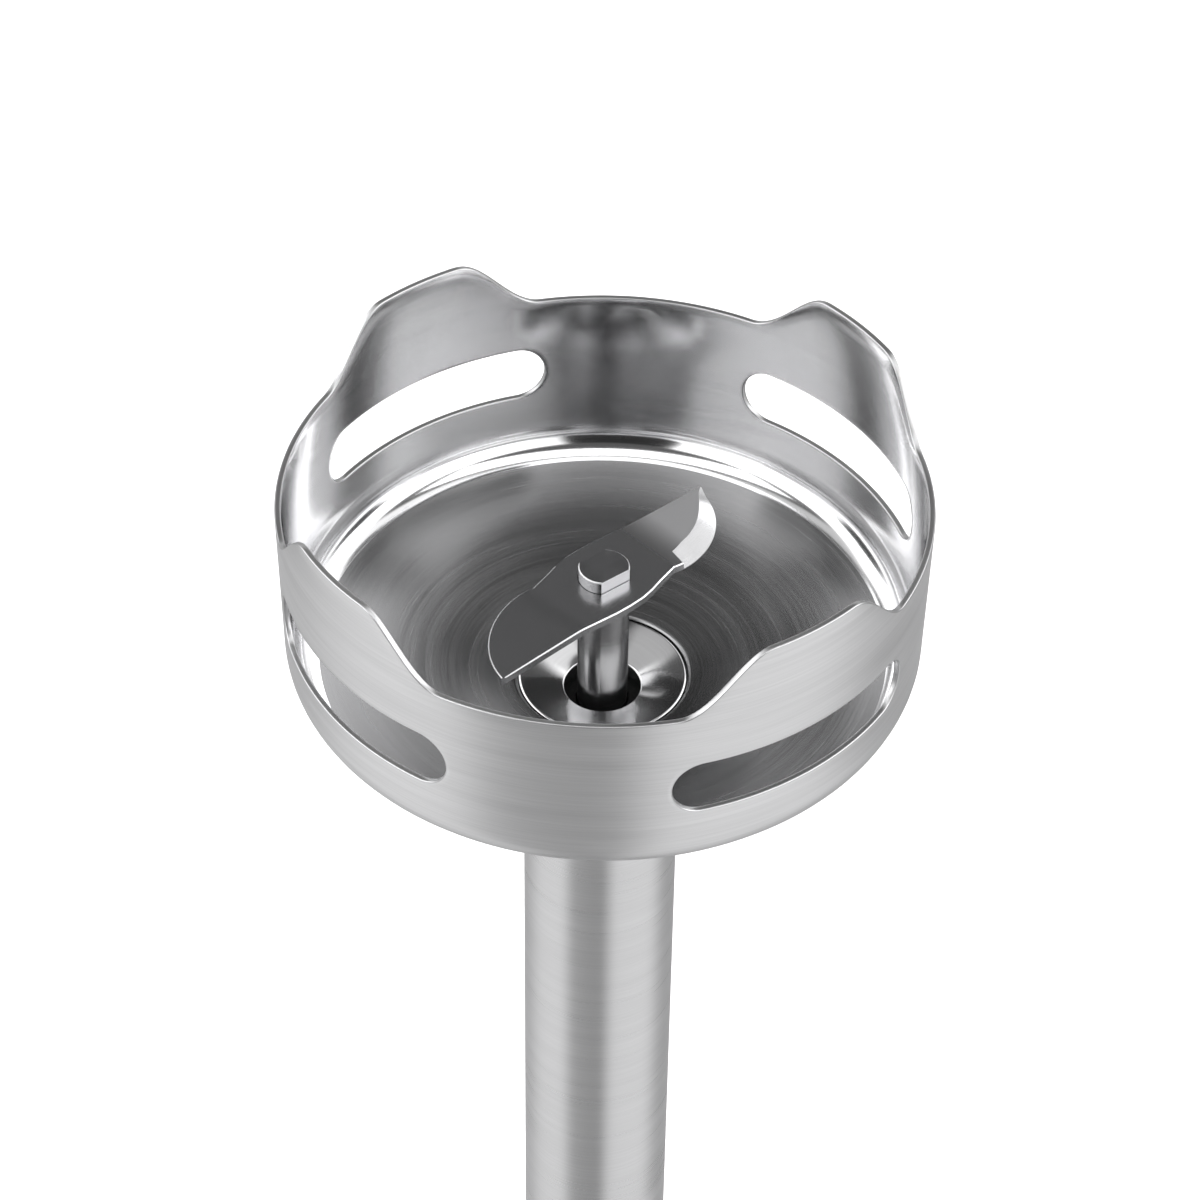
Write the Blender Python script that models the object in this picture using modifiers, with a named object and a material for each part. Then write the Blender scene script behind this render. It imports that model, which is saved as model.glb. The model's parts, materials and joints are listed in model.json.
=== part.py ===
"""Immersion blender, blade end up, standing on the flat end of its handle.

Lengths are in metres.  Z is the turning axis of the motor, drive shaft and blade.
The trigger and speed wheel face -Y and the power inlet faces +Y.
"""

from math import asin, cos, degrees, pi, radians, sin, sqrt, tan

import bmesh
import bpy
from mathutils import Matrix, Vector

# Clearances
FIT = 0.0003  # gap between pieces that are pressed, screwed or welded together
RUN = 0.0002  # radial gap around a turning shaft
SLIDE = 0.0005  # gap around a piece that slides in an opening

# Bell guard and arm
BELL_R = 0.0500
BELL_DEPTH = 0.0314
SHEET = 0.0010
CREST_HEIGHT = 0.0100
CREST_COUNT = 4
CREST_FLAT_DEG = 8.2
CREST_FOOT_DEG = 24.8
CREST_OFFSET_DEG = 45.0
SLOT_HALF_DEG = 25.5
SLOT_TOP = -0.0093
SLOT_BOTTOM = -0.0189
CORNER_R = 0.0064
FLOOR_FALL = 0.0069
TUBE_R = 0.0125
TUBE_WALL = 0.0012
ARM_LENGTH = 0.2310

# Shaft and blade
SHAFT_R = 0.0040
HEAD_ACROSS_FLATS = 0.0058
HEAD_TOP = -0.0140
HEAD_TURN_DEG = 45.9
BLADE_TOP = -0.0163
BLADE_THICKNESS = 0.0015
BLADE_TURN_DEG = 7.5
BLADE_ARC_R = 0.0120
BLADE_ARC_CENTRE = (0.00545, 0.01335)
BLADE_UP_DEG = 5.0
BLADE_DOWN_DEG = 9.5
BLADE_CREASE = 0.01075
BLADE_BEVEL = 0.0038

# Housing
GRIP_R = 0.0255
BARREL_R = 0.0390
WALL = 0.0025
HOUSING_FOOT = 0.0340
GRIP_TOP = 0.1420
HOUSING_TOP = 0.2835
SOCKET_TOP = 0.2990

# Motor
STACK_Z = (0.1950, 0.2290)
BEARING_R = 0.0110
BEARING_INNER_R = 0.0065
BEARING_OUTER_R = 0.0085
COUPLING_R = 0.0090

# Controls
TRIGGER_Z = (0.0890, 0.1290)
TRIGGER_HALF = 0.0070
TRIGGER_PROUD = 0.0045
WHEEL_Z = 0.1450
WHEEL_R = 0.0125
WHEEL_HALF = 0.0040
BUTTON_Z = 0.1300
BUTTON_R = 0.0060

# Values that follow from the sizes above
FOOT_R = GRIP_R + 0.0075
RIM_Z = SOCKET_TOP + ARM_LENGTH
SPIGOT_R = TUBE_R + 0.0021
SOCKET_BORE_R = SPIGOT_R + FIT
NECK_R = SOCKET_BORE_R + 0.0055
MOUTH_R = NECK_R + 0.0010
COLLAR_BORE_R = NECK_R + 0.0014
COLLAR_R = COLLAR_BORE_R + 0.0044
STATOR_R = BARREL_R - WALL - 0.0030
ARMATURE_R = STATOR_R * 0.5
BOLT_R = 0.0015
BOLT_REACH = STATOR_R * 0.746
SHAFT_HOLE_R = SHAFT_R + FIT

COARSE = 8
MEDIUM = 16
FINE = 28

PARTS = None
CUTTERS = None


# ---------------------------------------------------------------- scene and materials
def clear_scene():
    for obj in list(bpy.data.objects):
        bpy.data.objects.remove(obj, do_unlink=True)


def new_collection(name, hidden):
    collection = bpy.data.collections.new(name)
    collection.hide_render = hidden
    bpy.context.scene.collection.children.link(collection)
    return collection


def new_material(name, colour, roughness, metallic):
    material = bpy.data.materials.new(name)
    material.use_nodes = True
    shader = material.node_tree.nodes["Principled BSDF"]
    shader.inputs["Base Color"].default_value = (*colour, 1.0)
    shader.inputs["Roughness"].default_value = roughness
    shader.inputs["Metallic"].default_value = metallic
    material.diffuse_color = (*colour, 1.0)
    return material


STEEL = ((0.62, 0.62, 0.63), 0.28, 1.0)
DARK_STEEL = ((0.30, 0.30, 0.31), 0.35, 1.0)
BRASS = ((0.72, 0.56, 0.28), 0.30, 1.0)
COPPER = ((0.70, 0.34, 0.18), 0.35, 1.0)
CARBON = ((0.05, 0.05, 0.05), 0.60, 0.0)
PLASTIC = ((0.16, 0.16, 0.17), 0.45, 0.0)
PALE_PLASTIC = ((0.55, 0.55, 0.56), 0.45, 0.0)
RUBBER = ((0.03, 0.03, 0.03), 0.80, 0.0)
BOARD = ((0.05, 0.22, 0.12), 0.50, 0.0)


def add_part(name, data, look):
    obj = bpy.data.objects.new(name, data)
    data.materials.clear()
    data.materials.append(new_material(name, *look))
    PARTS.objects.link(obj)
    return obj


def add_cutter(name, data):
    obj = bpy.data.objects.new(name, data)
    obj.display_type = "WIRE"
    CUTTERS.objects.link(obj)
    return obj


def add_boolean(obj, tool, operation="DIFFERENCE"):
    modifier = obj.modifiers.new(operation.lower(), "BOOLEAN")
    modifier.operation = operation
    modifier.solver = "EXACT"
    modifier.object = tool


def smooth(obj):
    for polygon in obj.data.polygons:
        polygon.use_smooth = True
    obj.data.set_sharp_from_angle(angle=radians(35))


# ---------------------------------------------------------------- shapes
def profile_mesh(name, points, closed):
    """Half section at +X: a closed ring, or a run from the axis back to the axis."""
    mesh = bpy.data.meshes.new(name)
    count = len(points)
    edges = [(i, i + 1) for i in range(count - 1)]
    if closed:
        edges.append((count - 1, 0))
    mesh.from_pydata([(r, 0.0, z) for r, z in points], edges, [])
    return mesh


def add_screw(obj, steps):
    modifier = obj.modifiers.new("screw", "SCREW")
    modifier.axis = "Z"
    modifier.angle = 2.0 * pi
    modifier.steps = steps
    modifier.render_steps = steps
    modifier.use_merge_vertices = True
    modifier.merge_threshold = 0.00005
    modifier.use_smooth_shade = True


def turned(name, points, look, steps=MEDIUM, closed=True):
    obj = add_part(name, profile_mesh(name, points, closed), look)
    add_screw(obj, steps)
    return obj


def ring(inner, outer, low, high):
    return [(outer, high), (outer, low), (inner, low), (inner, high)]


def plug(outer, low, high):
    return [(0.0, high), (outer, high), (outer, low), (0.0, low)]


def cylinder_mesh(name, radius, low, high, axis="Z", segments=COARSE):
    mesh = bpy.data.meshes.new(name)
    bm = bmesh.new()
    bmesh.ops.create_cone(
        bm, cap_ends=True, segments=segments, radius1=radius, radius2=radius,
        depth=high - low,
    )
    bmesh.ops.translate(bm, verts=bm.verts, vec=(0.0, 0.0, (high + low) / 2))
    if axis == "X":
        bmesh.ops.rotate(bm, verts=bm.verts, matrix=Matrix.Rotation(pi / 2, 3, "Y"))
    if axis == "Y":
        bmesh.ops.rotate(bm, verts=bm.verts, matrix=Matrix.Rotation(-pi / 2, 3, "X"))
    bm.to_mesh(mesh)
    bm.free()
    return mesh


def box_mesh(name, boxes):
    """One mesh holding a box for each (low corner, high corner)."""
    mesh = bpy.data.meshes.new(name)
    bm = bmesh.new()
    for low, high in boxes:
        size = [b - a for a, b in zip(low, high)]
        centre = [(a + b) / 2 for a, b in zip(low, high)]
        made = bmesh.ops.create_cube(bm, size=1.0)["verts"]
        bmesh.ops.scale(bm, verts=made, vec=size)
        bmesh.ops.translate(bm, verts=made, vec=centre)
    bm.to_mesh(mesh)
    bm.free()
    return mesh


def plate_mesh(name, outlines, low, high):
    """Flat plate from low to high with closed outlines; inner outlines are holes."""
    curve = bpy.data.curves.new(name + "_outline", "CURVE")
    curve.dimensions = "2D"
    curve.fill_mode = "BOTH"
    curve.extrude = (high - low) / 2
    for outline in outlines:
        spline = curve.splines.new("POLY")
        spline.points.add(len(outline) - 1)
        for point, (x, y) in zip(spline.points, outline):
            point.co = (x, y, 0.0, 1.0)
        spline.use_cyclic_u = True
    source = bpy.data.objects.new(name + "_outline", curve)
    bpy.context.scene.collection.objects.link(source)
    source.location.z = (high + low) / 2
    graph = bpy.context.evaluated_depsgraph_get()
    evaluated = source.evaluated_get(graph)
    mesh = bpy.data.meshes.new_from_object(evaluated)
    mesh.transform(evaluated.matrix_world)
    bpy.data.objects.remove(source, do_unlink=True)
    bm = bmesh.new()
    bm.from_mesh(mesh)
    bmesh.ops.remove_doubles(bm, verts=bm.verts, dist=0.00001)
    bmesh.ops.recalc_face_normals(bm, faces=bm.faces)
    bm.to_mesh(mesh)
    bm.free()
    mesh.name = name
    return mesh


def loft_mesh(name, rings, closed=False):
    """Skin over rings of equal length; closed joins the last ring to the first."""
    mesh = bpy.data.meshes.new(name)
    bm = bmesh.new()
    rows = [[bm.verts.new(point) for point in one] for one in rings]
    pairs = list(zip(rows, rows[1:]))
    if closed:
        pairs.append((rows[-1], rows[0]))
    for here, there in pairs:
        for i in range(len(here)):
            j = (i + 1) % len(here)
            bm.faces.new((here[i], here[j], there[j], there[i]))
    if not closed:
        bm.faces.new(reversed(rows[0]))
        bm.faces.new(rows[-1])
    bmesh.ops.recalc_face_normals(bm, faces=bm.faces)
    bm.to_mesh(mesh)
    bm.free()
    return mesh


def polar_outline(bands):
    """Closed outline from (radius, start, end, steps) bands in degrees."""
    points = []
    for radius, start, end, steps in bands:
        for i in range(steps + 1):
            angle = radians(start + (end - start) * i / steps)
            points.append((radius * cos(angle), radius * sin(angle)))
    return points


def circle(radius, count, start=0.0):
    steps = (start + 2.0 * pi * i / count for i in range(count))
    return [(radius * cos(a), radius * sin(a)) for a in steps]


def coil(name, radius, wire, centre, start, end, turns, look):
    """Helical spring along Y from start to end."""
    curve = bpy.data.curves.new(name, "CURVE")
    curve.dimensions = "3D"
    curve.bevel_depth = wire
    curve.bevel_resolution = 1
    curve.use_fill_caps = True
    count = turns * 8
    spline = curve.splines.new("POLY")
    spline.points.add(count)
    low = start + wire
    high = end - wire
    for i, point in enumerate(spline.points):
        angle = 2.0 * pi * i / 8
        x = radius * cos(angle)
        z = centre + radius * sin(angle)
        point.co = (x, low + (high - low) * i / count, z, 1.0)
    return add_part(name, curve, look)


# ---------------------------------------------------------------- bell guard and arm
def rim_height(angle_deg):
    """Height of the scalloped rim above its valleys."""
    pitch = 360.0 / CREST_COUNT
    away = abs((angle_deg - CREST_OFFSET_DEG + pitch / 2) % pitch - pitch / 2)
    t = (away - CREST_FLAT_DEG) / (CREST_FOOT_DEG - CREST_FLAT_DEG)
    t = min(max(t, 0.0), 1.0)
    return CREST_HEIGHT * (1.0 + cos(pi * t)) / 2


def bell_profile(rim):
    """Section of the bell: (radius, height) from the inner rim, outside first."""
    corner_x = BELL_R - 0.0004 - CORNER_R
    corner_z = -BELL_DEPTH + CORNER_R
    neck_r = TUBE_R + FIT
    seat_r = TUBE_R + 0.0011
    floor_r = corner_x + 0.0004
    floor_z = -BELL_DEPTH + SHEET + 0.0006
    inner_z = floor_z - FLOOR_FALL
    points = [(BELL_R - SHEET, rim), (BELL_R, rim), (BELL_R - 0.0002, SLOT_TOP)]
    for turn in (0, 30, 60, 86):
        x = corner_x + CORNER_R * cos(radians(turn))
        points.append((x, corner_z - CORNER_R * sin(radians(turn))))
    points.append((seat_r + 0.0015, inner_z - SHEET))
    points.append((seat_r + 0.0006, inner_z - 0.0020))
    points.append((seat_r + 0.0006, inner_z - 0.0112))
    points.append((neck_r, inner_z - 0.0112))
    points.append((neck_r, inner_z - 0.0014))
    points.append((seat_r, inner_z - 0.0014))
    points.append((seat_r, inner_z))
    points.append((floor_r, floor_z))
    for turn in (60, 30, 0):
        x = corner_x + (CORNER_R - SHEET) * cos(radians(turn))
        points.append((x, corner_z - (CORNER_R - SHEET) * sin(radians(turn))))
    points.append((BELL_R - 0.0002 - SHEET, SLOT_TOP))
    return points


def slot_cutter(name, centre_deg):
    """Round-ended opening that follows the wall around the axis."""
    middle = (SLOT_TOP + SLOT_BOTTOM) / 2
    half = (SLOT_TOP - SLOT_BOTTOM) / 2
    straight = radians(SLOT_HALF_DEG) * BELL_R - half
    outline = []
    for side in (1, -1):
        for i in range(7):
            turn = -pi / 2 + pi * i / 6
            along = side * (straight + half * cos(turn))
            outline.append((along, middle + side * half * sin(turn)))
    rings = []
    for radius in (BELL_R - 0.0070, BELL_R + 0.0070):
        points = []
        for along, z in outline:
            angle = radians(centre_deg) + along / BELL_R
            points.append((radius * cos(angle), radius * sin(angle), RIM_Z + z))
        rings.append(points)
    return add_cutter(name, loft_mesh(name, rings))


def make_bell_guard():
    columns = 60
    rings = []
    for i in range(columns):
        angle = 2.0 * pi * i / columns
        section = bell_profile(rim_height(360.0 * i / columns))
        rings.append([(r * cos(angle), r * sin(angle), RIM_Z + z) for r, z in section])
    bell = add_part("bell_guard", loft_mesh("bell_guard", rings, closed=True), STEEL)
    smooth(bell)
    for k in range(CREST_COUNT):
        centre = CREST_OFFSET_DEG + 360.0 * k / CREST_COUNT
        add_boolean(bell, slot_cutter("slot_cutter_%d" % (k + 1), centre))


def make_arm():
    floor = RIM_Z - BELL_DEPTH + SHEET + 0.0006 - FLOOR_FALL
    bore = TUBE_R - TUBE_WALL
    body_r = bore - FIT
    flange_r = TUBE_R + 0.0008
    tube_top = floor - 0.0014
    turned("arm_tube", ring(bore, TUBE_R, SOCKET_TOP - 0.0140, tube_top), STEEL, FINE)
    pocket_r = SHAFT_R + 0.0045
    cup_low = floor - 0.0195
    cup = [
        (SHAFT_R + 0.0020, floor - 0.0025),
        (SHAFT_R + 0.0024, floor - 0.0024),
        (flange_r - 0.0002, floor - 0.0001),
        (flange_r, floor - 0.0003),
        (flange_r, tube_top + FIT),
        (body_r, tube_top + FIT),
        (body_r, cup_low),
        (pocket_r, cup_low),
        (pocket_r, floor - 0.0049),
        (SHAFT_R + 0.0020, floor - 0.0049),
    ]
    turned("bearing_cup", cup, STEEL, FINE)
    seal_top = floor - 0.0052
    seal_low = seal_top - 0.0055
    seal = ring(SHAFT_HOLE_R, pocket_r - FIT, seal_low, seal_top)
    turned("shaft_seal", seal, RUBBER)
    bush = ring(SHAFT_R + RUN, pocket_r - FIT, cup_low + FIT, seal_low - FIT)
    turned("lower_bush", bush, BRASS)
    low = SOCKET_TOP - 0.0040
    turned("upper_bush", ring(SHAFT_R + RUN, body_r, low, low + 0.0140), BRASS)
    sleeve = TUBE_R + FIT
    fitting = [
        (TUBE_R + 0.0020, SOCKET_TOP + 0.0310),
        (TUBE_R + 0.0035, SOCKET_TOP + 0.0290),
        (TUBE_R + 0.0035, SOCKET_TOP + 0.0050),
        (NECK_R - 0.0005, SOCKET_TOP + 0.0050),
        (NECK_R, SOCKET_TOP + 0.0044),
        (NECK_R, SOCKET_TOP + FIT),
        (SPIGOT_R, SOCKET_TOP + FIT),
        (SPIGOT_R, SOCKET_TOP - 0.0180),
        (SPIGOT_R - 0.0006, SOCKET_TOP - 0.0190),
        (sleeve, SOCKET_TOP - 0.0190),
        (sleeve, SOCKET_TOP + 0.0310),
    ]
    turned("tube_fitting", fitting, STEEL, FINE)


def make_collar():
    high = SOCKET_TOP + 0.0095
    low = SOCKET_TOP - 0.0140
    lip = SOCKET_TOP + 0.0054
    throat = TUBE_R + 0.0040
    collar = [
        (throat, high),
        (COLLAR_R - 0.0015, high),
        (COLLAR_R, high - 0.0015),
        (COLLAR_R, low + 0.0015),
        (COLLAR_R - 0.0012, low),
        (COLLAR_BORE_R, low),
        (COLLAR_BORE_R, lip),
        (throat, lip),
    ]
    turned("locking_collar", collar, PLASTIC, FINE)


# ---------------------------------------------------------------- drive shaft and blade
def make_drive_shaft():
    low = SOCKET_TOP - 0.0120
    high = RIM_Z + HEAD_TOP
    flats = RIM_Z + BLADE_TOP - BLADE_THICKNESS - 0.0002
    chamfer = 0.0004
    points = [
        (0.0, high),
        (SHAFT_R - chamfer, high),
        (SHAFT_R, high - chamfer),
        (SHAFT_R, low + chamfer),
        (SHAFT_R - chamfer, low),
        (0.0, low),
    ]
    shaft = turned("drive_shaft", points, STEEL, MEDIUM, closed=False)
    near = HEAD_ACROSS_FLATS / 2
    far = SHAFT_R + 0.0020
    boxes = []
    for side in (1, -1):
        edges = sorted((side * near, side * far))
        low_corner = (-far, edges[0], flats)
        high_corner = (far, edges[1], high + 0.0020)
        boxes.append((low_corner, high_corner))
    mesh = box_mesh("head_flats", boxes)
    mesh.transform(Matrix.Rotation(radians(HEAD_TURN_DEG), 4, "Z"))
    add_boolean(shaft, add_cutter("head_flats", mesh))


def blade_stations():
    """(outer, ridge, inner) points of one wing, from the hub to the tip."""
    plain = [((0.0088, -0.0005), (-0.0022, 0.0081)), ((0.0102, 0.0016), (0.0009, 0.0104))]
    stations = []
    for outer, inner in plain:
        ridge = Vector(outer).lerp(Vector(inner), 0.02)
        stations.append((outer, tuple(ridge), inner))
    root = Vector((0.0031, 0.0121))
    tip = Vector((0.0146, 0.0203))
    steps = 9
    for i in range(steps + 1):
        t = i / steps
        angle = radians(-57.2 + (35.5 + 57.2) * t)
        outer = Vector(BLADE_ARC_CENTRE)
        outer += BLADE_ARC_R * Vector((cos(angle), sin(angle)))
        inner = root.lerp(tip, t)
        width = BLADE_BEVEL * sqrt(1.0 - t ** 3) + 0.0003
        ridge = outer.lerp(inner, min(width / (inner - outer).length, 0.6))
        stations.append((tuple(outer), tuple(ridge), tuple(inner)))
    return stations


def blade_ring(station, side):
    """Six points around a station; side -1 is the opposite wing, turned over."""
    outer, ridge, inner = station
    half = BLADE_THICKNESS / 2
    points = []
    for (x, y), z in (
        (outer, half if ridge == outer else half - BLADE_THICKNESS * 0.85),
        (ridge, half),
        (inner, half),
        (inner, -half),
        (ridge, -half),
        (outer, -half),
    ):
        along = (x + y) / sqrt(2.0) - BLADE_CREASE
        bend = BLADE_UP_DEG if side > 0 else BLADE_DOWN_DEG
        z += tan(radians(bend)) * max(along, 0.0)
        points.append((side * x, side * y, side * z))
    return points if side > 0 else points[3:] + points[:3]


def make_blade():
    wing = blade_stations()
    hub = ((0.0062, -0.0044), (0.0, 0.0), (-0.0062, 0.0044))
    half = BLADE_THICKNESS / 2
    middle = [(x, y, half) for x, y in hub] + [(x, y, -half) for x, y in reversed(hub)]
    rings = [blade_ring(one, -1) for one in reversed(wing)]
    rings += [middle]
    rings += [blade_ring(one, 1) for one in wing]
    mesh = loft_mesh("blade", rings)
    mesh.transform(Matrix.Rotation(radians(BLADE_TURN_DEG), 4, "Z"))
    mesh.transform(Matrix.Translation((0.0, 0.0, RIM_Z + BLADE_TOP - half)))
    blade = add_part("blade", mesh, STEEL)
    near = HEAD_ACROSS_FLATS / 2 + 0.0001
    radius = SHAFT_R + 0.0001
    edge = degrees(asin(near / radius))
    bands = [(radius, -edge, edge, 8), (radius, 180 - edge, 180 + edge, 8)]
    outline = polar_outline(bands)
    z = RIM_Z + BLADE_TOP
    cutter = plate_mesh("blade_hole", [outline], z - 0.0050, z + 0.0050)
    cutter.transform(Matrix.Rotation(radians(HEAD_TURN_DEG), 4, "Z"))
    add_boolean(blade, add_cutter("blade_hole", cutter))


def dog_outline(phase):
    """Room between three dogs: a core with three wedges."""
    points = []
    for k in range(3):
        start = phase + k * 2.0 * pi / 3.0
        for turn in (-24, 0, 24):
            angle = start + radians(turn)
            points.append((0.0048 * cos(angle), 0.0048 * sin(angle)))
        for turn in (26, 60, 94):
            angle = start + radians(turn)
            reach = COUPLING_R + 0.0040
            points.append((reach * cos(angle), reach * sin(angle)))
    return points


def make_couplings():
    base = SOCKET_TOP - 0.0270
    bore = SHAFT_HOLE_R
    top = base + 0.0140
    lower = turned("motor_coupling", ring(bore, COUPLING_R, base, top), RUBBER)
    mesh = plate_mesh("dogs_low", [dog_outline(0.0)], base + 0.0060, top + 0.0020)
    add_boolean(lower, add_cutter("dogs_low", mesh))
    start = base + 0.0065
    end = base + 0.0205
    upper = turned("driven_coupling", ring(bore, COUPLING_R, start, end), STEEL)
    mesh = plate_mesh("dogs_high", [dog_outline(pi / 3)], start - 0.0020, start + 0.0080)
    add_boolean(upper, add_cutter("dogs_high", mesh))


def make_shaft_rings():
    low = SOCKET_TOP + 0.0100 + FIT
    washer = ring(SHAFT_HOLE_R, SHAFT_R + 0.0040, low, low + 0.0010)
    turned("thrust_washer", washer, BRASS)
    start = low + 0.0010 + FIT
    clip = ring(SHAFT_HOLE_R, SHAFT_R + 0.0022, start, start + 0.0010)
    turned("shaft_circlip", clip, DARK_STEEL)


# ---------------------------------------------------------------- housing
def housing_stations():
    """Outer surface of the housing as (radius, height), top to bottom."""
    shoulder = MOUTH_R + 0.0030
    swell = BARREL_R - shoulder
    step = BARREL_R - GRIP_R
    flare = FOOT_R - GRIP_R
    return [
        (shoulder, HOUSING_TOP),
        (shoulder + swell * 0.40, HOUSING_TOP - 0.0030),
        (shoulder + swell * 0.72, HOUSING_TOP - 0.0090),
        (shoulder + swell * 0.93, HOUSING_TOP - 0.0180),
        (BARREL_R, HOUSING_TOP - 0.0290),
        (BARREL_R, GRIP_TOP + 0.0440),
        (GRIP_R + step * 0.90, GRIP_TOP + 0.0340),
        (GRIP_R + step * 0.60, GRIP_TOP + 0.0245),
        (GRIP_R + step * 0.30, GRIP_TOP + 0.0170),
        (GRIP_R + step * 0.10, GRIP_TOP + 0.0090),
        (GRIP_R, GRIP_TOP),
        (GRIP_R, HOUSING_FOOT + 0.0240),
        (GRIP_R + flare * 0.20, HOUSING_FOOT + 0.0140),
        (GRIP_R + flare * 0.60, HOUSING_FOOT + 0.0060),
        (FOOT_R, HOUSING_FOOT),
    ]


def housing_radius(height):
    """Outer radius of the housing at a height."""
    stations = housing_stations()
    for (r_high, z_high), (r_low, z_low) in zip(stations, stations[1:]):
        if z_low <= height <= z_high:
            return r_low + (r_high - r_low) * (height - z_low) / (z_high - z_low)
    return FOOT_R


BOSS_R = 0.0026
SCREW_Y = 0.0160
SCREWS = (
    (-SCREW_Y, 0.0500),
    (SCREW_Y, 0.0500),
    (SCREW_Y, 0.1500),
    (-SCREW_Y, 0.1760),
)


def boss_reach(height):
    """How far a screw boss reaches out from the joint between the halves."""
    reach = housing_radius(height) ** 2 - (SCREW_Y + BOSS_R) ** 2
    return sqrt(reach) - 0.0003


def along_x(name, radius, low, high, y, z, segments=COARSE):
    mesh = cylinder_mesh(name, radius, low, high, "X", segments)
    mesh.transform(Matrix.Translation((0.0, y, z)))
    return mesh


def merge_meshes(name, meshes):
    merged = bpy.data.meshes.new(name)
    bm = bmesh.new()
    for mesh in meshes:
        bm.from_mesh(mesh)
        bpy.data.meshes.remove(mesh)
    bm.to_mesh(merged)
    bm.free()
    return merged


def wall_openings():
    """Boxes cut through both halves of the housing."""
    low, high = TRIGGER_Z
    gap = TRIGGER_HALF + SLIDE
    reach = BARREL_R + 0.0100
    trigger = ((-gap, -reach, low - SLIDE), (gap, -GRIP_R + 0.0060, high + SLIDE))
    half = WHEEL_HALF + SLIDE
    span = WHEEL_R * 0.97
    wheel = ((-half, -reach, WHEEL_Z - span), (half, -GRIP_R + 0.0050, WHEEL_Z + span))
    return [trigger, wheel]


def vent_boxes():
    """Air outlets around the fan, five on each side."""
    fan = STACK_Z[1] + 0.0105
    boxes = []
    for side in (1, -1):
        for row in range(-2, 3):
            y = row * 0.0060
            edges = sorted((side * (BARREL_R - 0.0090), side * (BARREL_R + 0.0050)))
            low = (edges[0], y - 0.0014, fan)
            boxes.append((low, (edges[1], y + 0.0014, fan + 0.0100)))
    return boxes


def make_housing():
    outer = housing_stations()
    inner = [(r - WALL, z) for r, z in outer[3:]]
    cavity_top = [(MOUTH_R, HOUSING_TOP - WALL)]
    cavity_top += [(r - WALL * 0.9, z - WALL) for r, z in outer[1:3]]
    section = [(MOUTH_R, HOUSING_TOP)] + outer
    section += list(reversed(cavity_top + inner))
    openings = add_cutter("wall_openings", box_mesh("wall_openings", wall_openings()))
    vents = add_cutter("vent_openings", box_mesh("vent_openings", vent_boxes()))
    hole = cylinder_mesh("button_hole", BUTTON_R + SLIDE, 0.0120, 0.0500, "Y", MEDIUM)
    hole.transform(Matrix.Translation((0.0, 0.0, BUTTON_Z)))
    button = add_cutter("button_hole", hole)
    for name, side in (("housing_left", -1), ("housing_right", 1)):
        shell = turned(name, section, PLASTIC, FINE)
        far = BARREL_R + 0.0200
        edges = sorted((side * FIT / 2, -side * far))
        spare = ((edges[0], -far, 0.0), (edges[1], far, RIM_Z))
        add_boolean(shell, add_cutter(name + "_split", box_mesh(name, [spare])))
        bosses = []
        bores = []
        for y, z in SCREWS:
            reach = boss_reach(z)
            ends = sorted((side * FIT / 2, side * reach))
            bosses.append(along_x("boss", BOSS_R, ends[0], ends[1], y, z))
            if side > 0:
                bores.append(along_x("bore", 0.0015, -0.0010, reach + 0.0100, y, z))
                seat = reach - 0.0050
                bores.append(along_x("seat", 0.0023, seat, reach + 0.0100, y, z))
            else:
                bores.append(along_x("bore", 0.0015, -0.0110, 0.0010, y, z))
        add_boolean(shell, add_cutter(name + "_boss", merge_meshes(name, bosses)), "UNION")
        for i, bore in enumerate(bores):
            add_boolean(shell, add_cutter("%s_bore_%d" % (name, i), bore))
        add_boolean(shell, openings)
        add_boolean(shell, vents)
        add_boolean(shell, button)


def make_housing_screws():
    for i, (y, z) in enumerate(SCREWS):
        seat = boss_reach(z) - 0.0050 + FIT
        length = seat + 0.0100
        points = [
            (0.0, seat + 0.0016),
            (0.0016, seat + 0.0016),
            (0.0020, seat + 0.0010),
            (0.0020, seat),
            (0.0012, seat),
            (0.0012, seat - length + 0.0010),
            (0.0, seat - length),
        ]
        name = "housing_screw_%d" % (i + 1)
        screw = turned(name, points, DARK_STEEL, COARSE, closed=False)
        screw.rotation_euler = (0.0, pi / 2, 0.0)
        screw.location = (0.0, y, z)


def make_grip_sleeve():
    low = HOUSING_FOOT + 0.0250
    high = TRIGGER_Z[0] - 0.0060
    inner = GRIP_R + FIT
    outer = inner + 0.0014
    points = [(inner, high), (outer - 0.0005, high), (outer, high - 0.0008)]
    grooves = 4
    pitch = (high - low) / (grooves + 1)
    for i in range(grooves):
        z = high - pitch * (i + 1)
        points += [(outer, z + 0.0007), (outer - 0.0006, z), (outer, z - 0.0007)]
    points += [(outer, low + 0.0008), (outer - 0.0005, low), (inner, low)]
    turned("grip_sleeve", points, RUBBER, FINE)


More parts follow.
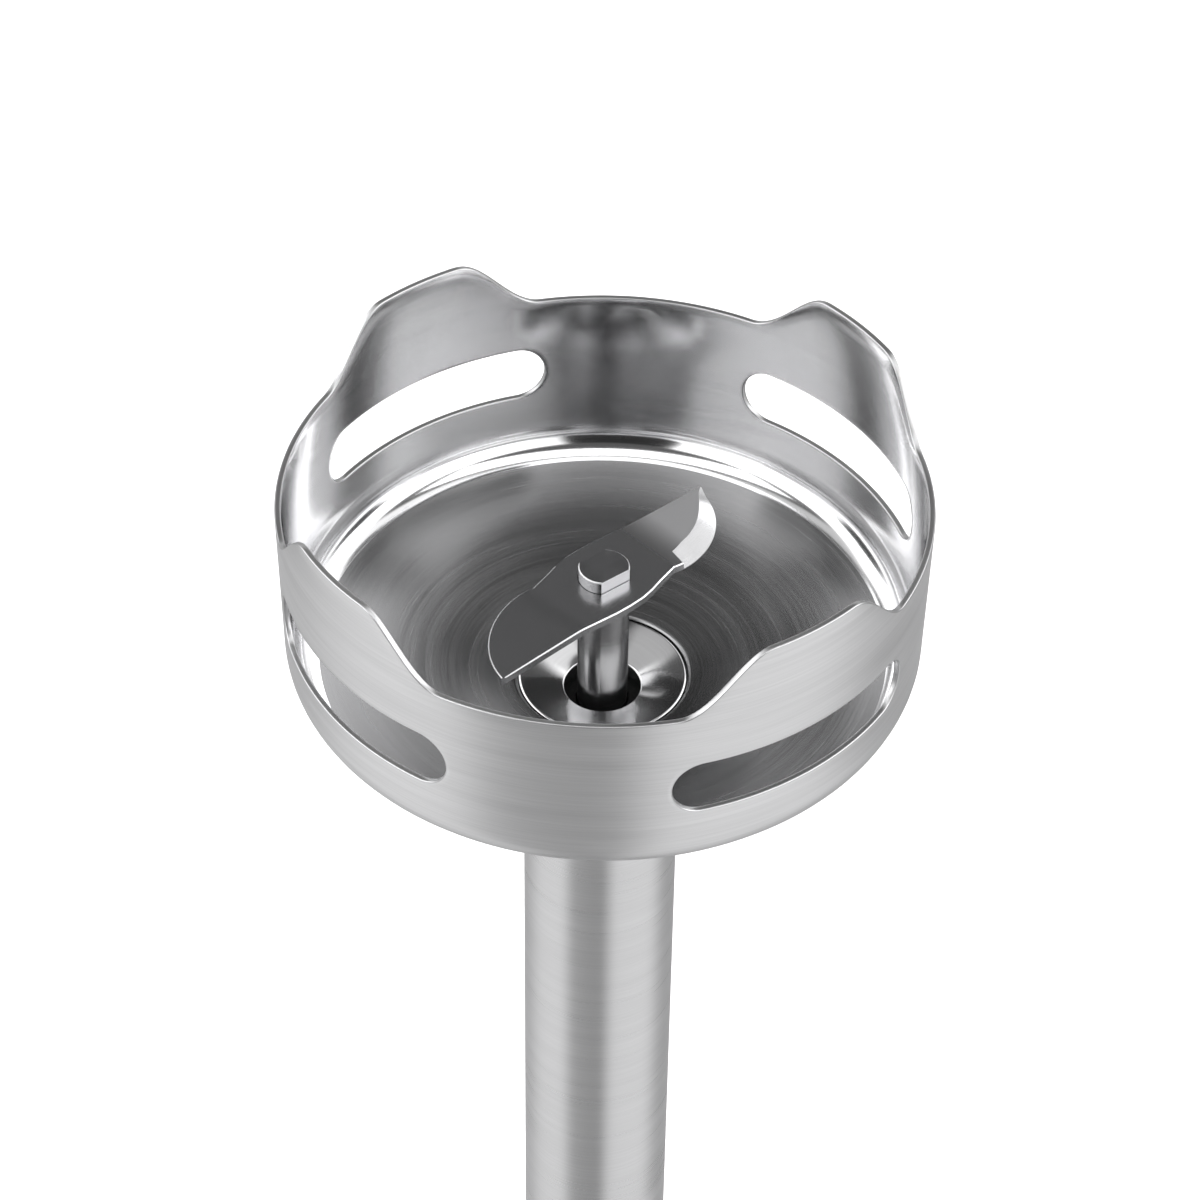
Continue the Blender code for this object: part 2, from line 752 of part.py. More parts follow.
def make_end_cap():
    top = HOUSING_FOOT - FIT
    foot = 0.0080
    web = 0.0030
    points = [
        (0.0, 0.0040 + web),
        (FOOT_R - 0.0130, 0.0040 + web),
        (FOOT_R - 0.0124, foot + web),
        (FOOT_R - 0.0040, foot + web),
        (FOOT_R - WALL, foot + 0.0060),
        (FOOT_R - WALL, top),
        (FOOT_R, top),
        (FOOT_R + 0.0004, top - 0.0120),
        (FOOT_R, foot + 0.0040),
        (FOOT_R - 0.0012, foot),
        (FOOT_R - 0.0104, foot),
        (FOOT_R - 0.0108, 0.0040),
        (0.0, 0.0040),
    ]
    cap = turned("end_cap", points, PLASTIC, FINE, closed=False)
    slots = []
    for row in range(-2, 3):
        z = 0.0230 + row * 0.0030
        for side in (1, -1):
            edges = sorted((side * (FOOT_R - 0.0060), side * (FOOT_R + 0.0050)))
            slots.append(((edges[0], -0.0100, z - 0.0007), (edges[1], 0.0100, z + 0.0007)))
    add_boolean(cap, add_cutter("inlet_vents", box_mesh("inlet_vents", slots)))
    room = ((-0.0113, FOOT_R - 0.0060, 0.0147), (0.0113, FOOT_R + 0.0050, 0.0293))
    add_boolean(cap, add_cutter("inlet_room", box_mesh("inlet_room", [room])))


def make_bumper():
    outer = FOOT_R - 0.0016
    inner = FOOT_R - 0.0100
    high = 0.0080 - FIT
    points = [
        (outer, high),
        (outer + 0.0004, 0.0050),
        (outer, 0.0014),
        (outer - 0.0012, 0.0),
        (inner + 0.0012, 0.0),
        (inner, 0.0012),
        (inner, high),
    ]
    turned("bumper_foot", points, RUBBER, FINE)


def make_power_inlet():
    back = FOOT_R - 0.0090
    front = FOOT_R + 0.0020
    half = 0.0110
    low, high = 0.0150, 0.0290
    data = box_mesh("inlet_body", [((-half, back, low), (half, front, high))])
    body = add_part("inlet_body", data, RUBBER)
    floor = back + 0.0030
    room = ((-half + 0.0018, floor, low + 0.0018), (half - 0.0018, front + 0.001, high - 0.0018))
    add_boolean(body, add_cutter("inlet_recess", box_mesh("inlet_recess", [room])))
    for name, x in (("inlet_pin_left", -0.0045), ("inlet_pin_right", 0.0045)):
        mesh = cylinder_mesh(name, 0.0012, floor + FIT, front - 0.0010, "Y")
        mesh.transform(Matrix.Translation((x, 0.0, (low + high) / 2)))
        smooth(add_part(name, mesh, BRASS))


def make_arm_socket():
    base = HOUSING_TOP - 0.0120
    points = [(NECK_R - 0.0010, SOCKET_TOP), (NECK_R, SOCKET_TOP - 0.0010)]
    for turn in range(3):
        z = SOCKET_TOP - 0.0030 - turn * 0.0030
        points += [(NECK_R, z), (NECK_R + 0.0008, z - 0.0010), (NECK_R, z - 0.0020)]
    points += [
        (NECK_R, base + 0.0035),
        (NECK_R + 0.0070, base + 0.0035),
        (NECK_R + 0.0070, base),
        (SOCKET_BORE_R, base),
        (SOCKET_BORE_R, SOCKET_TOP),
    ]
    turned("arm_socket", points, STEEL, FINE)
    seal = ring(NECK_R + FIT, NECK_R + 0.0007, HOUSING_TOP - 0.0020, HOUSING_TOP - 0.0004)
    turned("socket_seal", seal, RUBBER, FINE)


# ---------------------------------------------------------------- motor
def make_stator():
    low, high = STACK_Z
    bore = ARMATURE_R + SLIDE
    window = STATOR_R * 0.82
    bands = [(bore, -50, 50, 6), (window, 52, 128, 5), (bore, 130, 230, 6)]
    bands += [(window, 232, 308, 5)]
    outlines = [circle(STATOR_R, 32), polar_outline(bands)]
    data = plate_mesh("stator_core", outlines, low, high)
    smooth(add_part("stator_core", data, DARK_STEEL))
    wire = (window - bore) * 0.26
    path_r = (window + bore) / 2
    for name, facing in (("field_coil_left", 180), ("field_coil_right", 0)):
        curve = bpy.data.curves.new(name, "CURVE")
        curve.dimensions = "3D"
        curve.bevel_depth = wire
        curve.bevel_resolution = 1
        points = []
        for z, sweep in ((high + wire + 0.0008, 1), (low - wire - 0.0008, -1)):
            for i in range(7):
                angle = radians(facing + sweep * (-74 + 148 * i / 6))
                points.append((path_r * cos(angle), path_r * sin(angle), z))
        spline = curve.splines.new("POLY")
        spline.points.add(len(points) - 1)
        for point, (x, y, z) in zip(spline.points, points):
            point.co = (x, y, z, 1.0)
        spline.use_cyclic_u = True
        add_part(name, curve, COPPER)


def make_brackets():
    low, high = STACK_Z
    pocket = BEARING_R + FIT
    rear = low - 0.0250
    rear_r = GRIP_R + 0.0020
    points = [
        (pocket, rear),
        (rear_r, rear),
        (rear_r, rear - 0.0030),
        (pocket + 0.0025, rear - 0.0030),
        (pocket + 0.0025, rear - 0.0100),
        (SHAFT_R + 0.0015, rear - 0.0100),
        (SHAFT_R + 0.0015, rear - 0.0080),
        (pocket, rear - 0.0080),
    ]
    turned("rear_bracket", points, STEEL, FINE)
    front = high + 0.0230
    points = [
        (SHAFT_R + 0.0015, front + 0.0100),
        (pocket + 0.0025, front + 0.0100),
        (pocket + 0.0025, front + 0.0030),
        (STATOR_R - 0.0005, front + 0.0030),
        (STATOR_R - 0.0005, front),
        (pocket, front),
        (pocket, front + 0.0080),
        (SHAFT_R + 0.0015, front + 0.0080),
    ]
    bracket = turned("front_bracket", points, STEEL, FINE)
    for i in range(4):
        angle = radians(45 + 90 * i)
        reach = (STATOR_R + pocket) / 2 + 0.0010
        hole = cylinder_mesh("air_hole_%d" % i, 0.0040, front - 0.01, front + 0.01)
        hole.transform(Matrix.Translation((reach * cos(angle), reach * sin(angle), 0.0)))
        add_boolean(bracket, add_cutter("air_hole_%d" % i, hole))
    rear_z = (rear - 0.0077, rear - 0.0017)
    front_z = (front + 0.0017, front + 0.0077)
    for name, (start, end) in (("rear_bearing", rear_z), ("front_bearing", front_z)):
        turned(name + "_outer", ring(BEARING_OUTER_R, BEARING_R, start, end), STEEL)
        turned(name + "_inner", ring(SHAFT_HOLE_R, BEARING_INNER_R, start, end), STEEL)
    for name, side in (("motor_bolt_front", -1), ("motor_bolt_back", 1)):
        mesh = cylinder_mesh(name, BOLT_R, rear + FIT, front - FIT)
        mesh.transform(Matrix.Translation((0.0, side * BOLT_REACH, 0.0)))
        smooth(add_part(name, mesh, DARK_STEEL))


def make_brushes():
    middle = STACK_Z[0] - 0.0160
    inner, outer = 0.0125, 0.0270
    half = 0.0045
    slot = 0.0033
    for name, side in (("left", -1), ("right", 1)):
        def span(a, b, width):
            edges = sorted((side * a, side * b))
            low = (edges[0], -width, middle - width)
            return low, (edges[1], width, middle + width)

        data = box_mesh("brush_holder_" + name, [span(inner, outer, half)])
        holder = add_part("brush_holder_" + name, data, BRASS)
        room = box_mesh("brush_room_" + name, [span(inner - 0.001, outer - 0.002, slot)])
        add_boolean(holder, add_cutter("brush_room_" + name, room))
        data = box_mesh("carbon_brush_" + name, [span(0.0108, 0.0240, slot - FIT)])
        add_part("carbon_brush_" + name, data, CARBON)


def make_rotor():
    low, high = STACK_Z
    points = plug(SHAFT_R, low - 0.0345, SOCKET_TOP - 0.0215)
    turned("rotor_shaft", points, STEEL, closed=False)
    teeth = 12
    bands = []
    for k in range(teeth):
        start = 360.0 * k / teeth
        bands.append((ARMATURE_R, start - 11.0, start + 11.0, 2))
        bands.append((ARMATURE_R * 0.62, start + 13.0, start + 17.0, 1))
    outlines = [polar_outline(bands), circle(SHAFT_HOLE_R, MEDIUM)]
    data = plate_mesh("armature_core", outlines, low, high)
    smooth(add_part("armature_core", data, DARK_STEEL))
    hub = SHAFT_R + 0.0025
    reach = ARMATURE_R - 0.0015
    for name, start, end in (
        ("winding_rear", low - 0.0085, low - 0.0005),
        ("winding_front", high + 0.0005, high + 0.0085),
    ):
        points = [
            (hub, end),
            (reach - 0.0015, end),
            (reach, end - 0.0015),
            (reach, start + 0.0015),
            (reach - 0.0015, start),
            (hub, start),
        ]
        turned(name, points, COPPER)
    bands = []
    for k in range(16):
        start = 22.5 * k
        bands.append((0.0105, start - 9.0, start + 9.0, 1))
        bands.append((0.0098, start + 10.0, start + 12.5, 1))
    outlines = [polar_outline(bands), circle(SHAFT_HOLE_R, MEDIUM)]
    data = plate_mesh("commutator", outlines, low - 0.0220, low - 0.0100)
    smooth(add_part("commutator", data, COPPER))
    blades = 9
    tip = BOLT_REACH - BOLT_R - 0.0010
    bands = []
    for k in range(blades):
        start = 360.0 * k / blades
        bands.append((tip, start - 1.2, start + 1.2, 1))
        bands.append((0.0085, start + 5.0, start + 35.0, 2))
    outlines = [polar_outline(bands), circle(SHAFT_HOLE_R, MEDIUM)]
    data = plate_mesh("cooling_fan", outlines, high + 0.0110, high + 0.0200)
    smooth(add_part("cooling_fan", data, PALE_PLASTIC))


# ---------------------------------------------------------------- controls
def make_trigger():
    low, high = TRIGGER_Z
    front = -GRIP_R - TRIGGER_PROUD
    shoulder = -GRIP_R + 0.0060
    back = shoulder + 0.0015
    outline = [(high, shoulder + 0.0005), (high, front + 0.0030)]
    steps = 6
    for i in range(steps + 1):
        t = i / steps
        z = high - 0.0020 - (high - low - 0.0040) * t
        dip = 0.0014 * sin(pi * t)
        outline.append((z, front + dip))
    outline += [(low, front + 0.0030), (low, shoulder + 0.0005)]
    outline += [(low - 0.0025, shoulder + 0.0005), (low - 0.0025, back)]
    outline += [(high + 0.0025, back), (high + 0.0025, shoulder + 0.0005)]
    data = plate_mesh("trigger", [outline], -TRIGGER_HALF, TRIGGER_HALF)
    turn = Matrix(((0, 0, 1, 0), (0, 1, 0, 0), (1, 0, 0, 0), (0, 0, 0, 1)))
    data.transform(turn)
    data.flip_normals()
    add_part("trigger", data, PALE_PLASTIC)
    switch_front = -0.0050
    body = box_mesh("switch_body", [((-0.0065, switch_front, 0.0960), (0.0065, 0.0075, 0.1300))])
    switch = add_part("switch_body", body, PLASTIC)
    hole = cylinder_mesh("plunger_hole", 0.0028, switch_front - 0.002, 0.0030, "Y")
    hole.transform(Matrix.Translation((0.0, 0.0, 0.1060)))
    add_boolean(switch, add_cutter("plunger_hole", hole))
    mesh = cylinder_mesh("switch_plunger", 0.0020, back + FIT, -0.0015, "Y")
    mesh.transform(Matrix.Translation((0.0, 0.0, 0.1060)))
    smooth(add_part("switch_plunger", mesh, PALE_PLASTIC))
    coil("trigger_spring", 0.0030, 0.0004, 0.1220, back + FIT, switch_front - FIT, 5, STEEL)


def make_speed_wheel():
    notches = 24
    bands = []
    for k in range(notches):
        start = 360.0 * k / notches
        bands.append((WHEEL_R, start - 3.6, start + 3.6, 1))
        bands.append((WHEEL_R - 0.0006, start + 6.0, start + 9.0, 1))
    outlines = [polar_outline(bands)]
    data = plate_mesh("speed_wheel", outlines, -WHEEL_HALF, WHEEL_HALF)
    data.transform(Matrix.Rotation(pi / 2, 4, "Y"))
    wheel = add_part("speed_wheel", data, RUBBER)
    wheel.location = (0.0, -GRIP_R + 0.0090, WHEEL_Z)
    y = -GRIP_R + 0.0060
    reach = GRIP_R * 0.45
    box = ((WHEEL_HALF + 0.0012, y, WHEEL_Z - 0.0060), (reach, y + 0.0110, WHEEL_Z + 0.0060))
    add_part("potentiometer", box_mesh("potentiometer", [box]), PALE_PLASTIC)


def make_lock_button():
    front = GRIP_R + 0.0025
    shoulder = GRIP_R - 0.0050
    points = [
        (0.0, front),
        (BUTTON_R - 0.0008, front),
        (BUTTON_R, front - 0.0008),
        (BUTTON_R, shoulder),
        (BUTTON_R + 0.0018, shoulder),
        (BUTTON_R + 0.0018, shoulder - 0.0012),
        (0.0, shoulder - 0.0012),
    ]
    button = turned("lock_button", points, PALE_PLASTIC, closed=False)
    button.rotation_euler = (-pi / 2, 0.0, 0.0)
    button.location = (0.0, 0.0, BUTTON_Z)
    face = 0.0104
    start = face + FIT
    end = shoulder - 0.0012 - FIT
    coil("lock_spring", 0.0035, 0.0004, BUTTON_Z, start, end, 4, STEEL)
    box = ((-0.0150, face - 0.0014, 0.0600), (0.0150, face, BUTTON_Z + 0.0100))
    add_part("control_board", box_mesh("control_board", [box]), BOARD)


def main():
    global PARTS, CUTTERS
    clear_scene()
    PARTS = new_collection("immersion_blender", False)
    CUTTERS = new_collection("cutters", True)
    make_bell_guard()
    make_arm()
    make_collar()
    make_drive_shaft()
    make_blade()
    make_couplings()
    make_shaft_rings()
    make_housing()
    make_housing_screws()
    make_grip_sleeve()
    make_end_cap()
    make_bumper()
    make_power_inlet()
    make_arm_socket()
    make_stator()
    make_brackets()
    make_brushes()
    make_rotor()
    make_trigger()
    make_speed_wheel()
    make_lock_button()


main()
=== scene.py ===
"""Looks of the immersion blender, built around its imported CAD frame.  Metres, +Z up."""

import json
from math import asin, atan2, cos, degrees, pi, radians, sin, sqrt, tan

import bmesh
import bpy
from mathutils import Matrix, Vector


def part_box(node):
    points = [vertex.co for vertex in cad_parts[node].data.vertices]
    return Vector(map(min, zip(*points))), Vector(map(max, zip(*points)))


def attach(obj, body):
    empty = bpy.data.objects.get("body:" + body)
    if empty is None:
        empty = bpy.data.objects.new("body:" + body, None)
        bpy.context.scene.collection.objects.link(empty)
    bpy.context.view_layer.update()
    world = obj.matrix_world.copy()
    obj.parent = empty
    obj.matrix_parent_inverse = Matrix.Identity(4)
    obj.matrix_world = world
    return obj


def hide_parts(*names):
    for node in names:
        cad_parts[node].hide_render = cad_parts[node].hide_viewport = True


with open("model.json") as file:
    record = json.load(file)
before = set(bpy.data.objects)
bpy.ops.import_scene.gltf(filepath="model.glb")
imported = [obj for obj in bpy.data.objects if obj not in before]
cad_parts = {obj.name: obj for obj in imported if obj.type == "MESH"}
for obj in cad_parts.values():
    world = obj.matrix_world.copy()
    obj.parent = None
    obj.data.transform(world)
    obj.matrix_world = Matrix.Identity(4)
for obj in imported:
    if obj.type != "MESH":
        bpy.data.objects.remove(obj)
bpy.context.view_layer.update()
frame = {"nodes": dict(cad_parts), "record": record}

# Sizes read from the frame
BELL_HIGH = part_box("bell_guard")[1]
BELL_R = BELL_HIGH.x
CREST_HEIGHT = 0.0100
RIM_Z = BELL_HIGH.z - CREST_HEIGHT
TUBE_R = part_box("arm_tube")[1].x
SHAFT_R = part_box("drive_shaft")[1].x
SOCKET_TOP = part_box("arm_socket")[1].z
NECK_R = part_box("tube_fitting")[1].x
COLLAR_LOW, COLLAR_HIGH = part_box("locking_collar")
BARREL_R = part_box("housing_right")[1].x
HOUSING_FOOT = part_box("housing_right")[0].z
HOUSING_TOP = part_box("housing_right")[1].z
SLEEVE_LOW, SLEEVE_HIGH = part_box("grip_sleeve")
SLEEVE_THICKNESS = 0.0017
GRIP_R = SLEEVE_HIGH.x - SLEEVE_THICKNESS
FOOT_R = GRIP_R + 0.0075
MOUTH_R = NECK_R + 0.0010
SPIGOT_R = TUBE_R + 0.0021
TUBE_WALL = 0.0012

# Gaps: between fixed pieces, and round pieces that slide
FIT = 0.0003
SLIDE = 0.0005

# Housing
WALL = 0.0025
GRIP_TOP = 0.1420
FOOT_HEIGHT = 0.0080
TRIGGER_TAB = 0.0025
TRIGGER_DISH = 0.0014
BUTTON_R = 0.0060
SCREW_Y = 0.0160
SCREW_SEAT = 0.0050
BOSS_R = 0.0026
SCREWS = ((-SCREW_Y, 0.0500), (SCREW_Y, 0.0500), (SCREW_Y, 0.1500), (-SCREW_Y, 0.1760))

# Bell guard
SHEET = 0.0010
CREST_COUNT = 4
CREST_FLAT = 8.2
CREST_FOOT = 24.8
CREST_OFFSET = 45.0
SLOT_HALF = radians(25.5)
SLOT_TOP = -0.0093
SLOT_BOTTOM = -0.0189
BELL_DEPTH = 0.0314
CORNER_R = 0.0064
CORNER_Z = -BELL_DEPTH + CORNER_R
CORNER_X = BELL_R - 0.0004 - CORNER_R
FLOOR_FALL = 0.0069
FLOOR_EDGE_Z = -BELL_DEPTH + SHEET + 0.0006
FLOOR_Z = FLOOR_EDGE_Z - FLOOR_FALL
SEAT_Z = FLOOR_Z - 0.0014
NECK_Z = FLOOR_Z - 0.0112
EDGE_ROUND = 0.00022

# Shaft and blade
HEAD_FLATS = 0.0058
HEAD_TURN = radians(45.9)
HEAD_TOP = -0.0140
BLADE_TOP = -0.0163
BLADE_THICKNESS = 0.0015
BLADE_TURN = radians(7.5)
BLADE_ARC_R = 0.0120
BLADE_ARC_CENTRE = Vector((0.00545, 0.01335))
BLADE_UP = radians(5.0)
BLADE_DOWN = radians(9.5)
BLADE_CREASE = 0.01075
BLADE_BEVEL = 0.0038

# The photograph's viewing direction, turned about Z from the frame's front
VIEW_TURN = radians(7.5)

# Segments round the large turned pieces, and the range most noise values fall in
FINE = 160
NOISE = (0.3, 0.7)

# Studio: (degrees round from the camera's side, positive to its right; brightness)
LOW_WALLS = (
    (-180, 0.42), (-125, 0.50), (-98, 0.82), (-55, 0.86), (-38, 0.42), (5, 0.36),
    (24, 0.84), (82, 0.86), (108, 0.42), (180, 0.38),
)
SIDE_WALLS = (
    (-180, 0.06), (-165, 0.03), (-146, 0.04), (-138, 0.60), (-95, 0.90), (-60, 1.00),
    (-28, 0.62), (-25, 0.01), (14, 0.01), (18, 0.50), (45, 0.80), (75, 1.00),
    (110, 0.90), (138, 0.60), (146, 0.04), (165, 0.03), (180, 0.06),
)
HIGH_WALLS = (
    (-180, 0.06), (-150, 0.03), (-146, 0.30), (-116, 0.30), (-108, 0.06), (0, 0.05),
    (108, 0.06), (116, 0.55), (146, 0.55), (150, 0.03), (180, 0.06),
)
SIDE_GAIN = 1.45


# ---------------------------------------------------------------- node helpers
class Nodes:
    """Short calls for building one node tree."""

    def __init__(self, tree):
        self.tree = tree
        tree.nodes.clear()

    def add(self, kind, **settings):
        node = self.tree.nodes.new(kind)
        for name, value in settings.items():
            setattr(node, name, value)
        return node

    def link(self, source, target):
        self.tree.links.new(source, target)

    def fill(self, socket, value):
        if isinstance(value, bpy.types.NodeSocket):
            self.link(value, socket)
        else:
            socket.default_value = value

    def math(self, operation, a, b=0.0, c=0.0):
        node = self.add("ShaderNodeMath", operation=operation)
        for socket, value in zip(node.inputs, (a, b, c)):
            self.fill(socket, value)
        return node.outputs[0]

    def times(self, a, b):
        return self.math("MULTIPLY", a, b)

    def plus(self, a, b):
        return self.math("ADD", a, b)

    def along(self, x, y, angle):
        """Distance along one direction in the XY plane."""
        return self.math("MULTIPLY_ADD", x, cos(angle), self.times(y, sin(angle)))

    def scaled(self, *axes):
        """A vector from three (value, scale) pairs."""
        node = self.add("ShaderNodeCombineXYZ")
        for socket, (value, scale) in zip(node.inputs, axes):
            self.link(self.times(value, scale), socket)
        return node.outputs[0]

    def noise(self, vector, scale, detail=3.0, roughness=0.55):
        node = self.add("ShaderNodeTexNoise")
        self.link(vector, node.inputs["Vector"])
        node.inputs["Scale"].default_value = scale
        node.inputs["Detail"].default_value = detail
        node.inputs["Roughness"].default_value = roughness
        return node.outputs[0]

    def remap(self, value, low, high, to_low=0.0, to_high=1.0):
        node = self.add("ShaderNodeMapRange")
        self.fill(node.inputs["Value"], value)
        node.inputs["From Min"].default_value = low
        node.inputs["From Max"].default_value = high
        node.inputs["To Min"].default_value = to_low
        node.inputs["To Max"].default_value = to_high
        return node.outputs[0]

    def ramp(self, value, stops):
        node = self.add("ShaderNodeValToRGB")
        self.fill(node.inputs[0], value)
        elements = node.color_ramp.elements
        while len(elements) < len(stops):
            elements.new(0.5)
        for element, (place, level) in zip(elements, stops):
            element.position = place
            shade = level if isinstance(level, tuple) else (level, level, level)
            element.color = (*shade, 1.0)
        return node.outputs[0]

    def position(self):
        """Object coordinates as x, y, z and distance from the Z axis."""
        coords = self.add("ShaderNodeTexCoord").outputs["Object"]
        split = self.add("ShaderNodeSeparateXYZ")
        self.link(coords, split.inputs[0])
        x, y, z = split.outputs
        squares = self.math("MULTIPLY_ADD", x, x, self.times(y, y))
        return coords, x, y, z, self.math("SQRT", squares)


def new_material(name, look, metallic, specular=0.5):
    """A Principled material and the Nodes object to dress it with."""
    material = bpy.data.materials.new(name)
    material.use_nodes = True
    nodes = Nodes(material.node_tree)
    shader = nodes.add("ShaderNodeBsdfPrincipled")
    output = nodes.add("ShaderNodeOutputMaterial")
    nodes.link(shader.outputs[0], output.inputs[0])
    shader.inputs["Metallic"].default_value = metallic
    shader.inputs["Specular IOR Level"].default_value = specular
    shader.inputs["Base Color"].default_value = (*look, 1.0)
    material.diffuse_color = (*look, 1.0)
    return material, nodes, shader


def add_bump(nodes, shader, height, strength, distance):
    bump = nodes.add("ShaderNodeBump")
    bump.inputs["Strength"].default_value = strength
    bump.inputs["Distance"].default_value = distance
    nodes.link(height, bump.inputs["Height"])
    nodes.link(bump.outputs[0], shader.inputs["Normal"])


def shade_between(nodes, shader, value, dark, light):
    """Base colour runs from dark to light as value runs from 0 to 1."""
    colours = nodes.ramp(value, [(0.0, dark), (1.0, light)])
    nodes.link(colours, shader.inputs["Base Color"])


def roughen(nodes, shader, value, low, high, span=NOISE):
    """Roughness runs from low to high as value runs over a span."""
    nodes.link(nodes.remap(value, *span, low, high), shader.inputs["Roughness"])


def shaded(look, down, up):
    """A colour's darkest and lightest tone, as shares below and above it."""
    dark = tuple(c * (1.0 - down) for c in look)
    light = tuple(min(c * (1.0 + up), 1.0) for c in look)
    return dark, light


def turned_metal(name, grey, rough, lines="z", spread=0.6, grain=2600.0, wear=0.06, bump=0.08):
    """Metal with fine marks running round the Z axis: on walls (z) or faces (r)."""
    look = (grey, grey, grey * 1.01)
    material, nodes, shader = new_material(name, look, 1.0)
    _, x, y, z, r = nodes.position()
    across = r if lines == "r" else z
    fine = nodes.scaled((x, 18.0), (y, 18.0), (across, grain))
    coarse = nodes.scaled((x, 30.0), (y, 30.0), (across, grain * 0.16))
    marks = nodes.noise(fine, 1.0, 4.0, 0.7)
    bands = nodes.noise(coarse, 1.0, 3.0, 0.6)
    mixed = nodes.math("MULTIPLY_ADD", marks, 0.6, nodes.times(bands, 0.4))
    roughen(nodes, shader, mixed, rough * 0.82, rough * 1.22)
    level = nodes.remap(mixed, *NOISE)
    shade_between(nodes, shader, level, *shaded(look, wear, wear))
    if spread:
        tangent = nodes.add("ShaderNodeTangent", direction_type="RADIAL", axis="Z")
        nodes.link(tangent.outputs[0], shader.inputs["Tangent"])
        shader.inputs["Anisotropic"].default_value = spread
        shader.inputs["Anisotropic Rotation"].default_value = 0.25
    add_bump(nodes, shader, mixed, bump, 0.00004)
    return material


def plain_metal(name, look, rough, grain=900.0, wear=0.12, bump=0.15, metallic=1.0):
    """Cast, ground or drawn metal with an even fine grain."""
    material, nodes, shader = new_material(name, look, metallic)
    coords = nodes.position()[0]
    fine = nodes.noise(coords, grain, 4.0, 0.7)
    broad = nodes.noise(coords, grain * 0.05, 3.0, 0.6)
    mixed = nodes.math("MULTIPLY_ADD", fine, 0.5, nodes.times(broad, 0.5))
    level = nodes.remap(mixed, *NOISE)
    shade_between(nodes, shader, level, *shaded(look, wear, wear))
    roughen(nodes, shader, mixed, rough * 0.82, rough * 1.18)
    add_bump(nodes, shader, fine, bump, 0.00005)
    return material


def blade_metal(name):
    """Satin steel, with the upturned wing beyond its crease painted lighter, a painted highlight, and
    made duller.
    """
    material, nodes, shader = new_material(name, (0.5, 0.5, 0.51), 1.0)
    coords, x, y, _, _ = nodes.position()
    along = nodes.along(x, y, pi / 4 + BLADE_TURN)
    # Painted highlight: beyond the crease the wing's base colour is painted lighter; it is also made
    # rougher.
    wing = nodes.remap(along, BLADE_CREASE - 0.0015, BLADE_CREASE + 0.0045)
    fine = nodes.noise(coords, 7000.0, 3.0, 0.6)
    grain = nodes.remap(fine, *NOISE, -0.015, 0.015)
    level = nodes.plus(wing, grain)
    shade_between(nodes, shader, level, (0.46, 0.46, 0.47), (0.62, 0.62, 0.63))
    rough_value = nodes.plus(nodes.remap(wing, 0.0, 1.0, 0.25, 0.50), grain)
    nodes.link(rough_value, shader.inputs["Roughness"])
    add_bump(nodes, shader, fine, 0.03, 0.00002)
    return material


def scratched_metal(name, look, rough, angle, bump=0.25):
    """Metal with straight fine scratches along one direction in the XY plane."""
    material, nodes, shader = new_material(name, look, 1.0)
    coords, x, y, z, _ = nodes.position()
    along, across = nodes.along(x, y, angle), nodes.along(x, y, angle + pi / 2)
    streaks = nodes.scaled((along, 120.0), (across, 5200.0), (z, 5200.0))
    marks = nodes.noise(streaks, 1.0, 4.0, 0.7)
    broad = nodes.noise(coords, 160.0, 3.0, 0.6)
    mixed = nodes.math("MULTIPLY_ADD", marks, 0.6, nodes.times(broad, 0.4))
    level = nodes.remap(mixed, *NOISE)
    shade_between(nodes, shader, level, *shaded(look, 0.14, 0.12))
    roughen(nodes, shader, mixed, rough * 0.8, rough * 1.3)
    add_bump(nodes, shader, mixed, bump, 0.00003)
    return material


def moulded(name, look, rough, grain=1500.0, bump=0.30, specular=0.45, distance=0.00006):
    """Moulded plastic or rubber with a fine spark-eroded grain."""
    material, nodes, shader = new_material(name, look, 0.0, specular)
    coords = nodes.position()[0]
    cells = nodes.add("ShaderNodeTexVoronoi")
    nodes.link(coords, cells.inputs["Vector"])
    cells.inputs["Scale"].default_value = grain
    fine = nodes.noise(coords, grain * 1.7, 3.0, 0.6)
    height = nodes.math("MULTIPLY_ADD", cells.outputs["Distance"], 0.7, fine)
    broad = nodes.noise(coords, 25.0, 3.0, 0.6)
    level = nodes.remap(broad, *NOISE)
    shade_between(nodes, shader, level, *shaded(look, 0.12, 0.12))
    roughen(nodes, shader, fine, rough * 0.88, rough * 1.12)
    add_bump(nodes, shader, height, bump, distance)
    return material


def laminated(name, look, rough, pitch=0.0005):
    """Stacked iron sheets: thin grooves across Z."""
    material, nodes, shader = new_material(name, look, 1.0)
    coords, _, _, z, _ = nodes.position()
    wave = nodes.math("SINE", nodes.times(z, 2.0 * pi / pitch))
    fine = nodes.noise(coords, 700.0, 3.0, 0.6)
    level = nodes.remap(nodes.math("MULTIPLY_ADD", wave, 0.3, fine), 0.1, 0.9)
    shade_between(nodes, shader, level, tuple(c * 0.6 for c in look), look)
    roughen(nodes, shader, fine, rough * 0.85, rough * 1.2)
    add_bump(nodes, shader, wave, 0.4, 0.00008)
    return material


def wound(name, look, rough, pitch=0.0006):
    """Windings of enamelled wire: rounded ridges with small shifts."""
    material, nodes, shader = new_material(name, look, 0.8)
    coords, _, _, z, r = nodes.position()
    shift = nodes.noise(coords, 240.0, 2.0, 0.5)
    turn = nodes.plus(nodes.plus(z, r), nodes.times(shift, pitch))
    wave = nodes.math("ABSOLUTE", nodes.math("SINE", nodes.times(turn, pi / pitch)))
    # Painted shade: the base colour darkens to about a third in the grooves between turns.
    shade_between(nodes, shader, wave, tuple(c * 0.35 for c in look), look)
    roughen(nodes, shader, wave, rough * 1.4, rough, (0.0, 1.0))
    add_bump(nodes, shader, wave, 0.6, 0.00015)
    return material


